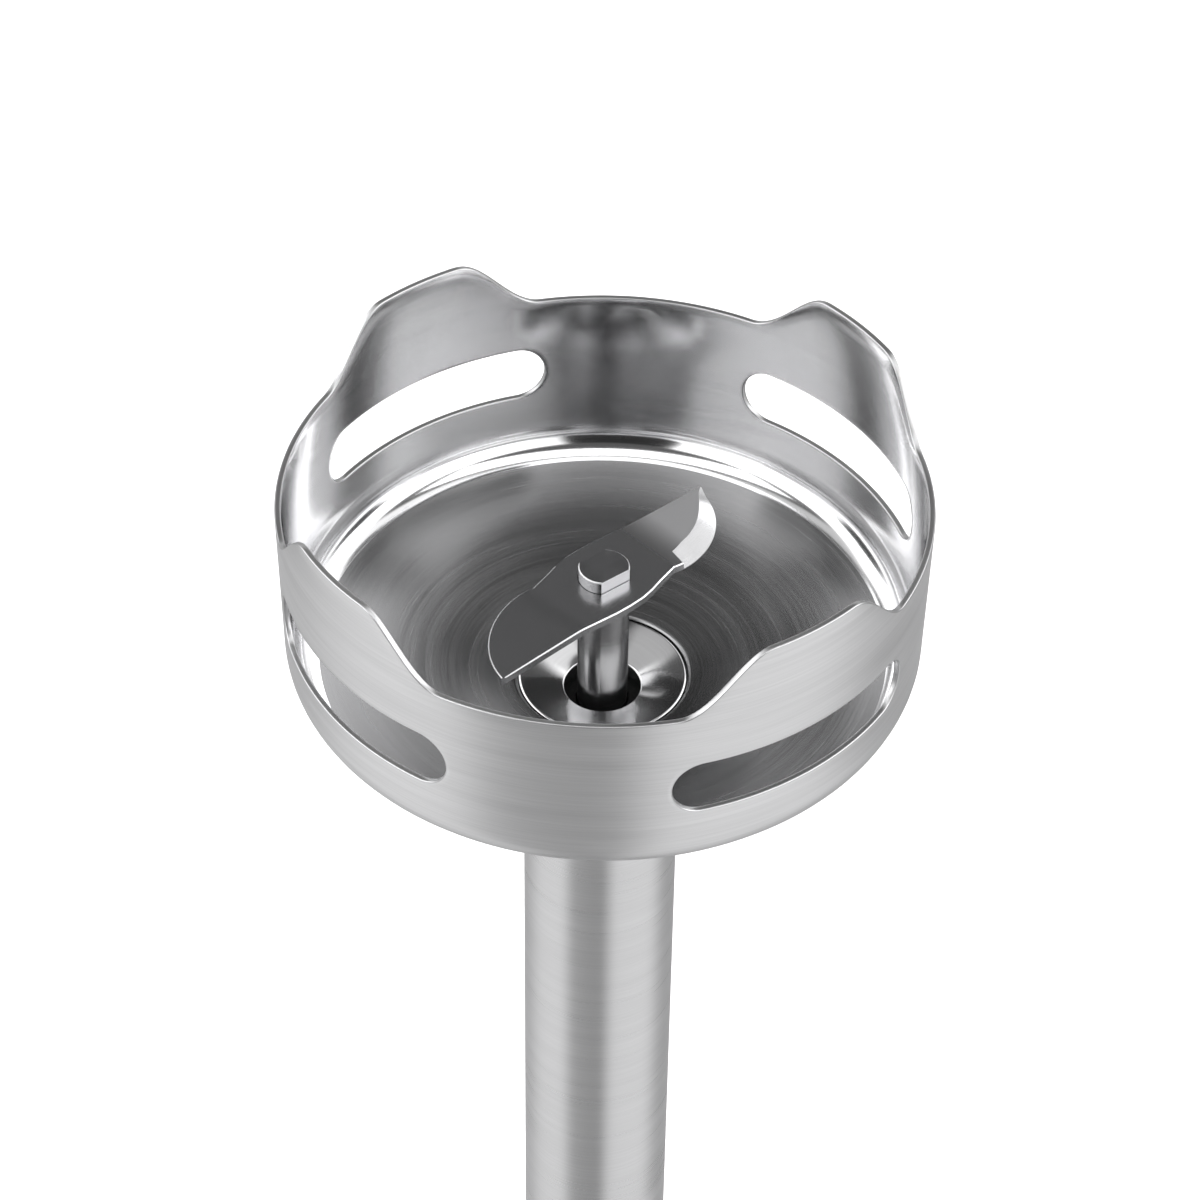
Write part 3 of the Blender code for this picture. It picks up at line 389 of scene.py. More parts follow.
def printed_board(name):
    """Green solder mask with pale traces on a coarse grid."""
    material, nodes, shader = new_material(name, (0.02, 0.16, 0.08), 0.0)
    coords = nodes.position()[0]
    cells = nodes.add("ShaderNodeTexVoronoi", distance="MANHATTAN")
    nodes.link(coords, cells.inputs["Vector"])
    cells.inputs["Scale"].default_value = 260.0
    traces = nodes.remap(cells.outputs["Distance"], 0.42, 0.46)
    shade_between(nodes, shader, traces, (0.02, 0.16, 0.08), (0.06, 0.30, 0.14))
    fine = nodes.noise(coords, 900.0)
    roughen(nodes, shader, fine, 0.25, 0.4)
    add_bump(nodes, shader, traces, 0.3, 0.00005)
    return material


# ---------------------------------------------------------------- shape helpers
def add_object(name, data):
    obj = bpy.data.objects.new(name, data)
    bpy.context.scene.collection.objects.link(obj)
    return obj


def finish_object(name, bm, materials, sharp=35.0):
    """An object from bm in the scene, smooth but for edges sharper than an angle."""
    mesh = bpy.data.meshes.new(name)
    bm.to_mesh(mesh)
    bm.free()
    for material in materials:
        mesh.materials.append(material)
    for polygon in mesh.polygons:
        polygon.use_smooth = True
    mesh.set_sharp_from_angle(angle=radians(sharp))
    return add_object(name, mesh)


def mesh_object(name, vertices, faces, materials, sharp=35.0, merge=0.0):
    """An object from points and (corners, material index) faces, facing out."""
    bm = bmesh.new()
    made = [bm.verts.new(v) for v in vertices]
    for corners, index in faces:
        created = bm.faces.new([made[i] for i in corners])
        created.material_index = index
    if merge:
        bmesh.ops.remove_doubles(bm, verts=bm.verts, dist=merge)
    bmesh.ops.recalc_face_normals(bm, faces=bm.faces)
    return finish_object(name, bm, materials, sharp)


def rounded(points, closed=True, steps=5):
    """Section with corners (r, z, radius) turned into arcs."""
    result = []
    count = len(points)
    for i, point in enumerate(points):
        here = Vector(point[:2])
        radius = point[2] if len(point) > 2 else 0.0
        if not radius or (not closed and i in (0, count - 1)):
            result.append(tuple(here))
            continue
        before = Vector(points[i - 1][:2]) - here
        after = Vector(points[(i + 1) % count][:2]) - here
        half = before.angle(after) / 2
        reach = min(radius / tan(half), before.length * 0.49, after.length * 0.49)
        radius = reach * tan(half)
        centre = here + (before.normalized() + after.normalized()).normalized() * (radius / sin(half))
        start = here + before.normalized() * reach - centre
        sweep = start.angle_signed(here + after.normalized() * reach - centre)
        for k in range(steps + 1):
            turned = start.copy()
            turned.rotate(Matrix.Rotation(-sweep * k / steps, 2))
            result.append(tuple(centre + turned))
    return result


def circle(r, z, count):
    """Points round the Z axis."""
    angles = [2.0 * pi * k / count for k in range(count)]
    return [(r * cos(angle), r * sin(angle), z) for angle in angles]


def revolve(name, section, materials, segments=96, closed=True, sharp=35.0):
    """Turns a section about Z.  An open section starts and ends on the axis."""
    vertices = []
    faces = []
    rows = []
    for r, z in section:
        if r < 1e-7:
            rows.append([len(vertices)] * segments)
            vertices.append((0.0, 0.0, z))
            continue
        rows.append(list(range(len(vertices), len(vertices) + segments)))
        vertices += circle(r, z, segments)
    pairs = list(zip(range(len(rows) - 1), range(1, len(rows))))
    if closed:
        pairs.append((len(rows) - 1, 0))
    for a, b in pairs:
        for k in range(segments):
            n = (k + 1) % segments
            corners = []
            for corner in (rows[a][k], rows[a][n], rows[b][n], rows[b][k]):
                if corner not in corners:
                    corners.append(corner)
            if len(corners) > 2:
                faces.append((corners, 0))
    return mesh_object(name, vertices, faces, materials, sharp)


def loft(name, rings, materials, closed=False, index=None, sharp=35.0):
    """Joins rings of points, with capped ends or closed on itself."""
    vertices = [point for one in rings for point in one]
    size = len(rings[0])
    faces = []
    pairs = list(zip(range(len(rings) - 1), range(1, len(rings))))
    if closed:
        pairs.append((len(rings) - 1, 0))
    for a, b in pairs:
        for i in range(size):
            j = (i + 1) % size
            which = index(a, i) if index else 0
            faces.append(([a * size + i, a * size + j, b * size + j, b * size + i], which))
    if not closed:
        faces.append((list(reversed(range(size))), 0))
        faces.append((list(range((len(rings) - 1) * size, len(rings) * size)), 0))
    return mesh_object(name, vertices, faces, materials, sharp)


def apply_modifiers(obj):
    graph = bpy.context.evaluated_depsgraph_get()
    mesh = bpy.data.meshes.new_from_object(obj.evaluated_get(graph))
    obj.modifiers.clear()
    obj.data = mesh


def boolean(obj, tool, sharp=35.0):
    """Cuts the tool out of an object and removes the tool."""
    modifier = obj.modifiers.new("cut", "BOOLEAN")
    modifier.operation = "DIFFERENCE"
    modifier.solver = "EXACT"
    modifier.object = tool
    apply_modifiers(obj)
    bpy.data.objects.remove(tool, do_unlink=True)
    obj.data.set_sharp_from_angle(angle=radians(sharp))


def bevelled(obj, width, segments=3, angle=30.0):
    modifier = obj.modifiers.new("bevel", "BEVEL")
    modifier.width = width
    modifier.segments = segments
    modifier.limit_method = "ANGLE"
    modifier.angle_limit = radians(angle)
    modifier.harden_normals = False
    apply_modifiers(obj)
    obj.data.set_sharp_from_angle(angle=radians(50))


def boxes(name, corners, materials=()):
    """One object holding a box for each (low, high) pair."""
    bm = bmesh.new()
    for low, high in corners:
        made = bmesh.ops.create_cube(bm, size=1.0)["verts"]
        bmesh.ops.scale(bm, verts=made, vec=[b - a for a, b in zip(low, high)])
        bmesh.ops.translate(bm, verts=made, vec=[(a + b) / 2 for a, b in zip(low, high)])
    return finish_object(name, bm, materials)


def rods(name, places, materials=(), segments=48):
    """Cylinders for each (start, end, radius), as one object."""
    bm = bmesh.new()
    for start, end, radius in places:
        line = Vector(end) - Vector(start)
        turn = Vector((0, 0, 1)).rotation_difference(line).to_matrix().to_4x4()
        place = Matrix.Translation((Vector(start) + Vector(end)) / 2) @ turn
        bmesh.ops.create_cone(
            bm, cap_ends=True, segments=segments, radius1=radius, radius2=radius,
            depth=line.length, matrix=place,
        )
    return finish_object(name, bm, materials)


def place(obj, body, slot, *nodes):
    """Ties a finished piece to its body and hides the nodes it replaces; the slot is not used."""
    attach(obj, body)
    if nodes:
        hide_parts(*nodes)
    return obj


def lathe(name, body, slot, look, points, segments=128, steps=5, sharp=35.0):
    """Turns a closed section with rounded corners, in the place of the node of that name."""
    piece = revolve(name + "_fine", rounded(points, steps=steps), [look], segments, sharp=sharp)
    place(piece, body, slot, name)


# ---------------------------------------------------------------- bell guard
def rim_height(angle):
    """Height of the scalloped rim above its valleys, at an angle from a crest."""
    t = (abs(degrees(angle)) - CREST_FLAT) / (CREST_FOOT - CREST_FLAT)
    t = min(max(t, 0.0), 1.0)
    return CREST_HEIGHT * (1.0 + cos(pi * t)) / 2


def wall_radius(z):
    """Outer radius of the wall, which draws in slightly below the rim."""
    return BELL_R - 0.0004 * min(max(-z / -CORNER_Z, 0.0), 1.0)


def slot_outline(columns, rows):
    """Points round a slot as (along, height), matched to the panel's outline."""
    middle = (SLOT_TOP + SLOT_BOTTOM) / 2
    radius = (SLOT_TOP - SLOT_BOTTOM) / 2
    straight = SLOT_HALF * BELL_R - radius
    arc = radius * pi / 4
    length = 2 * straight + 2 * arc

    def end(centre, turn):
        """Point and outward normal on a rounded end."""
        return (centre + radius * cos(turn), radius * sin(turn), cos(turn), sin(turn))

    def top(s):
        """The same at distance s along the top from the left end's 45 degree point."""
        if s < arc:
            return end(-straight, 3 * pi / 4 - s / radius)
        if s > arc + 2 * straight:
            return end(straight, pi / 2 - (s - arc - 2 * straight) / radius)
        return (-straight + s - arc, radius, 0.0, 1.0)

    points = [top(length * i / columns) for i in range(columns)]
    points += [end(straight, pi / 4 - pi / 2 * i / rows) for i in range(rows)]
    for i in range(columns):
        x, y, nx, ny = top(length * (1 - i / columns))
        points.append((x, -y, nx, -ny))
    points += [end(-straight, 5 * pi / 4 - pi / 2 * i / rows) for i in range(rows)]
    return [(x, middle + y, nx, ny) for x, y, nx, ny in points]


def panel_outline(columns, rows):
    """Points round one quarter of the wall, as (angle, height), from the top left."""
    edge = pi / CREST_COUNT
    points = []
    for i in range(columns):
        angle = -edge + 2 * edge * i / columns
        points.append((angle, rim_height(angle) - EDGE_ROUND))
    high = -EDGE_ROUND
    points += [(edge, high + (CORNER_Z - high) * i / rows) for i in range(rows)]
    points += [(edge - 2 * edge * i / columns, CORNER_Z) for i in range(columns)]
    points += [(-edge, CORNER_Z + (high - CORNER_Z) * i / rows) for i in range(rows)]
    return points


def wall_point(angle, z, depth):
    """A point of the wall; depth 0 is the outer face and 1 the inner face."""
    radius = wall_radius(z) - SHEET * depth
    return (radius * cos(angle), radius * sin(angle), RIM_Z + z)


# Rounded lip across the sheet: (share of the sheet's depth, share of EDGE_ROUND)
LIP = (
    (0.0, 0.0), (0.03, 0.5), (0.12, 0.87), (0.22, 1.0),
    (0.78, 1.0), (0.88, 0.87), (0.97, 0.5), (1.0, 0.0),
)
OUTSIDE, INSIDE, FLOOR, LIPS = range(4)


def make_bell(materials):
    """Four equal quarters of wall, each a frame of faces round its slot, and the floor."""
    columns, rows, layers = 90, 14, 9
    slot = slot_outline(columns, rows)
    panel = panel_outline(columns, rows)
    count = len(slot)
    vertices = []
    faces = []

    def strip(first, second, index):
        for i in range(count):
            j = (i + 1) % count
            faces.append(([first + i, first + j, second + j, second + i], index))

    for quarter in range(CREST_COUNT):
        centre = radians(CREST_OFFSET) + quarter * 2 * pi / CREST_COUNT
        starts = []
        for depth in (0.0, 1.0):
            for layer in range(layers + 1):
                share = (layer / layers) ** 1.5
                starts.append(len(vertices))
                for (along, height, nx, ny), (angle, z) in zip(slot, panel):
                    inner_angle = (along + nx * EDGE_ROUND) / BELL_R
                    inner_z = height + ny * EDGE_ROUND
                    a = centre + inner_angle + (angle - inner_angle) * share
                    vertices.append(wall_point(a, inner_z + (z - inner_z) * share, depth))
        for layer in range(layers):
            strip(starts[layer], starts[layer + 1], OUTSIDE)
            strip(starts[layers + 1 + layer + 1], starts[layers + 1 + layer], INSIDE)
        lips = [starts[0]]
        for depth, rise in LIP[1:-1]:
            lips.append(len(vertices))
            for along, height, nx, ny in slot:
                reach = EDGE_ROUND * (1.0 - rise)
                angle = centre + (along + nx * reach) / BELL_R
                vertices.append(wall_point(angle, height + ny * reach, depth))
        lips.append(starts[layers + 1])
        for first, second in zip(lips, lips[1:]):
            strip(second, first, LIPS)
        base = [starts[layers] + i for i in range(columns + 1)]
        tops = [base]
        for depth, rise in LIP[1:-1]:
            tops.append(list(range(len(vertices), len(vertices) + columns + 1)))
            for i in range(columns + 1):
                angle = -pi / CREST_COUNT + 2 * pi / CREST_COUNT * i / columns
                z = rim_height(angle) - EDGE_ROUND * (1.0 - rise)
                vertices.append(wall_point(centre + angle, z, depth))
        tops.append([starts[2 * layers + 1] + i for i in range(columns + 1)])
        for first, second in zip(tops, tops[1:]):
            for i in range(columns):
                faces.append(([first[i], first[i + 1], second[i + 1], second[i]], LIPS))
    add_bell_floor(vertices, faces, columns * CREST_COUNT)
    return mesh_object("bell_guard_fine", vertices, faces, materials, sharp=40.0, merge=2e-6)


def floor_section():
    """Outer corner, cone and neck, then back along the floor to the inner corner."""
    seat_r = TUBE_R + 0.0011
    neck_r = seat_r + 0.0008
    steps = 14
    outer = []
    for k in range(steps + 1):
        turn = radians(86) * k / steps
        outer.append((CORNER_X + CORNER_R * cos(turn), CORNER_Z - CORNER_R * sin(turn)))
    neck = rounded(
        [
            (CORNER_X, -BELL_DEPTH),
            (neck_r, FLOOR_Z - SHEET - 0.0002, 0.0015),
            (neck_r, NECK_Z, 0.0003),
            (TUBE_R + FIT, NECK_Z),
        ],
        closed=False,
    )[1:]
    seat = [
        (TUBE_R + FIT, SEAT_Z),
        (seat_r, SEAT_Z),
        (seat_r, FLOOR_Z - 0.0002),
        (seat_r + 0.0002, FLOOR_Z),
    ]
    inner_r = CORNER_R - SHEET
    slope = atan2(FLOOR_FALL, CORNER_X - seat_r)
    floor = []
    end_x = CORNER_X + inner_r * sin(slope)
    end_z = CORNER_Z - inner_r * cos(slope)
    for t in (0.008, 0.02, 0.06, *(k / 12 for k in range(1, 12))):
        floor.append((seat_r + (end_x - seat_r) * t, FLOOR_Z + (end_z - FLOOR_Z) * t))
    for k in range(steps + 1):
        turn = (pi / 2 - slope) * (1 - k / steps)
        floor.append((CORNER_X + inner_r * cos(turn), CORNER_Z - inner_r * sin(turn)))
    return outer, neck, seat, floor


def add_bell_floor(vertices, faces, segments):
    """Turns the floor's section; its fillet up to the wall has the wall's finish."""
    outer, neck, seat, floor = floor_section()
    section = outer + neck + seat + floor
    first = len(vertices)
    for r, z in section:
        vertices += circle(r, RIM_Z + z, segments)
    outside = len(outer) + len(neck)
    fillet = len(section) - len(outer)
    for row in range(len(section) - 1):
        index = OUTSIDE if row < outside else FLOOR
        if row >= fillet:
            index = INSIDE
        for k in range(segments):
            n = (k + 1) % segments
            a, b = first + row * segments, first + (row + 1) * segments
            faces.append(([a + k, a + n, b + n, b + k], index))


# ---------------------------------------------------------------- arm
def make_arm(steel):
    """Tube from the bell down to the fitting, and the weld under the bell's neck."""
    z = SOCKET_TOP
    bore = TUBE_R - TUBE_WALL
    top = RIM_Z + SEAT_Z
    tube = [
        (TUBE_R, top, 0.0002),
        (TUBE_R, z - 0.0140, 0.0002),
        (bore, z - 0.0140, 0.0002),
        (bore, top, 0.0002),
    ]
    lathe("arm_tube", "arm", "tube_steel", steel["tube"], tube)
    bead = RIM_Z + NECK_Z
    weld = [
        (TUBE_R + 0.0017, bead - 0.0001, 0.0004),
        (TUBE_R + 0.0013, bead - 0.0010, 0.0005),
        (TUBE_R + 0.00008, bead - 0.0016, 0.0002),
        (TUBE_R + 0.00008, bead - 0.0001, 0.0001),
    ]
    place(revolve("weld_bead", rounded(weld), [steel["turned"]], 128), "arm", "turned_steel")
    band, groove = TUBE_R + 0.0035, TUBE_R + 0.0030
    fitting = [
        (TUBE_R + FIT, z + 0.0310, 0.0003), (TUBE_R + 0.0020, z + 0.0310, 0.0004),
        (band, z + 0.0290, 0.0006), (band, z + 0.0245, 0.0002), (groove, z + 0.0242, 0.0001),
        (groove, z + 0.0232, 0.0001), (band, z + 0.0229, 0.0002), (band, z + 0.0050, 0.0004),
        (NECK_R - 0.0005, z + 0.0050, 0.0002), (NECK_R, z + 0.0044, 0.0002),
        (NECK_R, z + FIT, 0.0002), (SPIGOT_R, z + FIT, 0.0004), (SPIGOT_R, z - 0.0180, 0.0003),
        (TUBE_R + 0.0015, z - 0.0190, 0.0003), (TUBE_R + FIT, z - 0.0190, 0.0002),
    ]
    lathe("tube_fitting", "arm", "turned_steel", steel["turned"], fitting)


def make_cup(steel):
    """Bearing cup: a polished dish in the floor, and its body inside the tube."""
    base = RIM_Z + FLOOR_Z
    flange = TUBE_R + 0.0008
    body = TUBE_R - TUBE_WALL - FIT
    hole = SHAFT_R + 0.0020
    pocket = SHAFT_R + 0.0045
    section = [
        (hole, base - 0.0024, 0.0005), (flange - 0.0003, base - 0.0001, 0.0003),
        (flange, base - 0.0003, 0.0002), (flange, base - 0.0011, 0.0001),
        (body, base - 0.0011, 0.0002), (body, base - 0.0195, 0.0004),
        (pocket, base - 0.0195, 0.0002), (pocket, base - 0.0049), (hole, base - 0.0049, 0.0002),
    ]
    look = steel["dish"]
    lathe("bearing_cup", "arm", "turned_steel", look, section, FINE, steps=7, sharp=50.0)


def make_collar(plastic):
    """Fluted locking collar: an outline with rounded flutes, swept down its height."""
    flutes = 24
    per = 8
    low, high = COLLAR_LOW.z, COLLAR_HIGH.z
    outer = COLLAR_HIGH.x
    lip = SOCKET_TOP + 0.0054
    bore = NECK_R + 0.0014
    throat = TUBE_R + 0.0040
    rings = []
    heights = [
        (low, outer - 0.0012, 0.0), (low + 0.0004, outer - 0.0004, 0.0),
        (low + 0.0012, outer, 0.0), (low + 0.0030, outer, 0.0), (low + 0.0042, outer, 1.0),
        (high - 0.0042, outer, 1.0), (high - 0.0030, outer, 0.0), (high - 0.0015, outer, 0.0),
        (high - 0.0005, outer - 0.0005, 0.0), (high, outer - 0.0015, 0.0),
        (high, throat + 0.0004, 0.0), (high - 0.0004, throat, 0.0), (lip + 0.0002, throat, 0.0),
        (lip, throat + 0.0002, 0.0), (lip, bore, 0.0), (low + 0.0004, bore, 0.0),
        (low, bore + 0.0004, 0.0),
    ]
    count = flutes * per
    for z, radius, depth in heights:
        ring = []
        for k in range(count):
            angle = 2 * pi * k / count
            wave = max(cos(flutes * angle), -0.2) + 0.2
            r = radius - depth * 0.0010 * wave / 1.2
            ring.append((r * cos(angle), r * sin(angle), z))
        rings.append(ring)
    piece = loft("locking_collar_fine", rings, [plastic["body"]], closed=True)
    place(piece, "collar", "dark_plastic", "locking_collar")


def make_socket(steel):
    base = HOUSING_TOP - 0.0120
    section = [(NECK_R - 0.0010, SOCKET_TOP, 0.0003), (NECK_R, SOCKET_TOP - 0.0010, 0.0003)]
    for turn in range(3):
        z = SOCKET_TOP - 0.0030 - turn * 0.0030
        section += [(NECK_R, z, 0.0002), (NECK_R + 0.0008, z - 0.0010, 0.0002)]
        section += [(NECK_R, z - 0.0020, 0.0002)]
    bore = SPIGOT_R + FIT
    section += [
        (NECK_R, base + 0.0035, 0.0003), (NECK_R + 0.0070, base + 0.0035, 0.0003),
        (NECK_R + 0.0070, base, 0.0003), (bore, base, 0.0003), (bore, SOCKET_TOP, 0.0004),
    ]
    lathe("arm_socket", "motor_body", "turned_steel", steel["turned"], section, steps=3)


# ---------------------------------------------------------------- shaft and blade
def make_shaft(steel):
    """Round bar whose end has two flats, dull and painted much lighter than the bar as a painted
    highlight, and a dark top.
    """
    low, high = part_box("drive_shaft")[0].z, RIM_Z + HEAD_TOP
    section = rounded(
        [
            (0.0, high),
            (SHAFT_R, high, 0.00025),
            (SHAFT_R, low, 0.0004),
            (0.0, low),
        ],
        closed=False,
    )
    looks = [steel["shaft"], steel["head"], steel["head_top"]]
    shaft = revolve("drive_shaft_fine", section, looks, 96, closed=False)
    near, far = HEAD_FLATS / 2, SHAFT_R + 0.0020
    bottom = RIM_Z + BLADE_TOP - BLADE_THICKNESS - 0.0002
    cutters = []
    for side in (1, -1):
        edges = sorted((side * near, side * far))
        cutters.append(((-far, edges[0], bottom), (far, edges[1], high + 0.0020)))
    tool = boxes("head_tool", cutters)
    tool.data.transform(Matrix.Rotation(HEAD_TURN, 4, "Z"))
    boolean(shaft, tool)
    for polygon in shaft.data.polygons:
        level = polygon.normal.z > 0.9
        if polygon.center.z > bottom and not level:
            polygon.material_index = 1
        if polygon.center.z > high - 0.0001 and level:
            polygon.material_index = 2
    place(shaft, "blade_drive", "shaft_steel", "drive_shaft")


def blade_stations():
    """(outer, inner, bevel offset) across one wing, from the hub to the tip."""
    stations = []
    hub = [
        ((0.0062, -0.0044), (-0.0062, 0.0044)),
        ((0.0076, -0.0025), (-0.0043, 0.0063)),
        ((0.0088, -0.0005), (-0.0022, 0.0081)),
        ((0.0096, 0.0007), (-0.0006, 0.0093)),
    ]
    for outer, inner in hub:
        stations.append((Vector(outer), Vector(inner), Vector((0.0, 0.0))))
    root, tip = Vector((0.0009, 0.0104)), Vector((0.0146, 0.0203))
    steps = 40
    notch = 0.085
    start, end = -63.0, 35.5
    places = [i / steps for i in range(steps + 1)] + [notch - 0.004, notch - 0.001, notch + 0.003]
    for t in sorted(places):
        angle = radians(start + (end - start) * t)
        outward = Vector((cos(angle), sin(angle)))
        width = 0.0
        if t > notch - 0.002:
            width = BLADE_BEVEL * sqrt(max(1.0 - t * t, 0.0)) * (0.76 + 0.24 * min(t / 0.25, 1.0))
        outer = BLADE_ARC_CENTRE + BLADE_ARC_R * outward
        stations.append((outer, root.lerp(tip, t), -outward * width))
    return stations


def blade_lift(point, bend):
    """How far a bend lifts a point, with a short curve at the crease."""
    along = (point.x + point.y) / sqrt(2.0) - BLADE_CREASE
    soft = 0.0012
    if along <= -soft:
        return 0.0
    if along < soft:
        return tan(bend) * (along + soft) ** 2 / (4 * soft)
    return tan(bend) * along


def blade_section(outer, inner, offset, bend=BLADE_UP):
    """Ring of one station: rounded edges, a ground bevel on the outer top edge."""
    half = BLADE_THICKNESS / 2
    small = 0.00018
    across = inner - outer
    step = across.normalized() * small
    width = offset.length
    ridge = outer + (offset if width > small else step)
    drop = max(BLADE_THICKNESS * 0.80 * min(width / 0.0015, 1.0), small)
    middle = outer + across * 0.72
    points = [
        (outer, half - drop), (ridge, half), (middle, half), (inner - step, half),
        (inner, half - small), (inner, -half + small), (inner - step, -half), (middle, -half),
        (ridge, -half), (outer + step, -half), (outer, -half + small),
    ]
    return [Vector((spot.x, spot.y, z + blade_lift(spot, bend))) for spot, z in points]


def make_blade(steel):
    """Right wing bent up with its bevel on top; the left is turned over and bent more."""
    stations = blade_stations()
    rings = [blade_section(*one) for one in stations]
    size = len(rings[0])
    shift = 5
    left = []
    for station in reversed(stations[1:]):
        ring = blade_section(*station, BLADE_DOWN)
        left.append([-ring[(i + shift) % size] for i in range(size)])
    rings = left + [blade_section(*stations[0])] + rings[1:]
    ground = [offset.length > 0.0 for _, _, offset in stations]

    def index(station, i):
        """Bevels are ground: on top of the right wing and underneath the left."""
        face, bevel, edge = range(3)
        if station >= len(left):
            if i == 0 and ground[station - len(left)] and station < len(rings) - 1:
                return bevel
            return edge if i in (0, 3) else face
        if i == size - shift and ground[len(left) - station - 1]:
            return bevel
        return edge if i in (0, 4) else face

    # The rounded edge strips get a near-white steel, a painted highlight along the blade's edges.
    looks = [steel["blade"], steel["ground"], steel["blade_edge_painted_highlight"]]
    blade = loft("blade_fine", rings, looks, index=index, sharp=14.0)
    blade.data.transform(Matrix.Rotation(BLADE_TURN, 4, "Z"))
    blade.data.transform(Matrix.Translation((0, 0, RIM_Z + BLADE_TOP - BLADE_THICKNESS / 2)))
    near, radius = HEAD_FLATS / 2 + 0.0001, SHAFT_R + 0.0001
    edge = asin(near / radius)
    outline = []
    for middle_angle in (0.0, pi):
        for k in range(13):
            angle = middle_angle - edge + 2 * edge * k / 12 + HEAD_TURN
            outline.append((radius * cos(angle), radius * sin(angle)))
    z = RIM_Z + BLADE_TOP
    rings = [[(x, y, z + lift) for x, y in outline] for lift in (-0.004, 0.004)]
    tool = loft("hole_tool", rings, [])
    boolean(blade, tool, sharp=14.0)
    place(blade, "blade_drive", "blade_steel", "blade")


# ---------------------------------------------------------------- housing
def housing_stations():
    """The housing's outline as (radius, height), from its mouth to its foot."""
    mouth = MOUTH_R
    shoulder = mouth + 0.0030
    swell = BARREL_R - shoulder
    step = BARREL_R - GRIP_R
    flare = FOOT_R - GRIP_R
    return [
        (shoulder, HOUSING_TOP), (shoulder + swell * 0.40, HOUSING_TOP - 0.0030),
        (shoulder + swell * 0.72, HOUSING_TOP - 0.0090),
        (shoulder + swell * 0.93, HOUSING_TOP - 0.0180), (BARREL_R, HOUSING_TOP - 0.0290),
        (BARREL_R, GRIP_TOP + 0.0440), (GRIP_R + step * 0.90, GRIP_TOP + 0.0340),
        (GRIP_R + step * 0.60, GRIP_TOP + 0.0245), (GRIP_R + step * 0.30, GRIP_TOP + 0.0170),
        (GRIP_R + step * 0.10, GRIP_TOP + 0.0090), (GRIP_R, GRIP_TOP),
        (GRIP_R, HOUSING_FOOT + 0.0240), (GRIP_R + flare * 0.20, HOUSING_FOOT + 0.0140),
        (GRIP_R + flare * 0.60, HOUSING_FOOT + 0.0060), (FOOT_R, HOUSING_FOOT),
    ]


def housing_radius(height):
    stations = housing_stations()
    for (r_high, z_high), (r_low, z_low) in zip(stations, stations[1:]):
        if z_low <= height <= z_high:
            return r_low + (r_high - r_low) * (height - z_low) / (z_high - z_low)
    return FOOT_R


def smooth_run(points, steps=5):
    """Points on a smooth curve through the given ones, kept monotone in height."""
    result = []
    count = len(points)
    slopes = []
    for i in range(count):
        a, b = points[max(i - 1, 0)], points[min(i + 1, count - 1)]
        left = (points[i][0] - a[0]) / (points[i][1] - a[1]) if i else 0.0
        right = (b[0] - points[i][0]) / (b[1] - points[i][1]) if i < count - 1 else 0.0
        slopes.append(0.0 if left * right <= 0 else 2 * left * right / (left + right))
    slopes[0] = (points[1][0] - points[0][0]) / (points[1][1] - points[0][1])
    slopes[-1] = (points[-1][0] - points[-2][0]) / (points[-1][1] - points[-2][1])
    for i in range(count - 1):
        (r0, z0), (r1, z1) = points[i], points[i + 1]
        span = z1 - z0
        for k in range(steps):
            t = k / steps
            h00 = 2 * t ** 3 - 3 * t ** 2 + 1
            h10 = t ** 3 - 2 * t ** 2 + t
            h01 = 3 * t ** 2 - 2 * t ** 3
            h11 = t ** 3 - t ** 2
            r = h00 * r0 + h10 * span * slopes[i] + h01 * r1 + h11 * span * slopes[i + 1]
            result.append((r, z0 + span * t))
    result.append(points[-1])
    return result


def boss_reach(height):
    """How far out from the split a screw boss of the housing ends."""
    return sqrt(housing_radius(height) ** 2 - (SCREW_Y + BOSS_R) ** 2) - FIT


def rounded_box(name, low, high, width, materials=(), segments=4):
    obj = boxes(name, [(low, high)], materials)
    bevelled(obj, width, segments)
    return obj


def joined(name, objects, materials=()):
    bm = bmesh.new()
    for obj in objects:
        bm.from_mesh(obj.data)
        bpy.data.objects.remove(obj, do_unlink=True)
    return finish_object(name, bm, materials)


def housing_tools(side):
    """Openings of one housing half: trigger, wheel, air slots and lock button."""
    trigger_low, trigger_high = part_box("trigger")
    wheel_low, wheel_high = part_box("speed_wheel")
    half = trigger_high.x + SLIDE
    reach = BARREL_R + 0.0100
    low = (-half, -reach, trigger_low.z + TRIGGER_TAB - SLIDE)
    high = (half, -GRIP_R + 0.0060, trigger_high.z - TRIGGER_TAB + SLIDE)
    tools = [rounded_box("tool_trigger", low, high, 0.0015)]
    middle = (wheel_low.z + wheel_high.z) / 2
    span = (wheel_high.z - wheel_low.z) / 2 * 0.97
    half = wheel_high.x + SLIDE
    low, high = (-half, -reach, middle - span), (half, -GRIP_R + 0.0050, middle + span)
    tools.append(rounded_box("tool_wheel", low, high, 0.0015))
    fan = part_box("armature_core")[1].z + 0.0105
    for row in range(-2, 3):
        y = row * 0.0060
        edges = sorted((side * (BARREL_R - 0.0090), side * (BARREL_R + 0.0050)))
        low, high = (edges[0], y - 0.0014, fan), (edges[1], y + 0.0014, fan + 0.0100)
        tools.append(rounded_box("tool_vent", low, high, 0.00135))
    button_low, button_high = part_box("lock_button")
    z = (button_low.z + button_high.z) / 2
    hole = [((0, 0.0120, z), (0, 0.0500, z), BUTTON_R + SLIDE)]
    tools.append(rods("tool_button", hole, segments=64))
    return tools


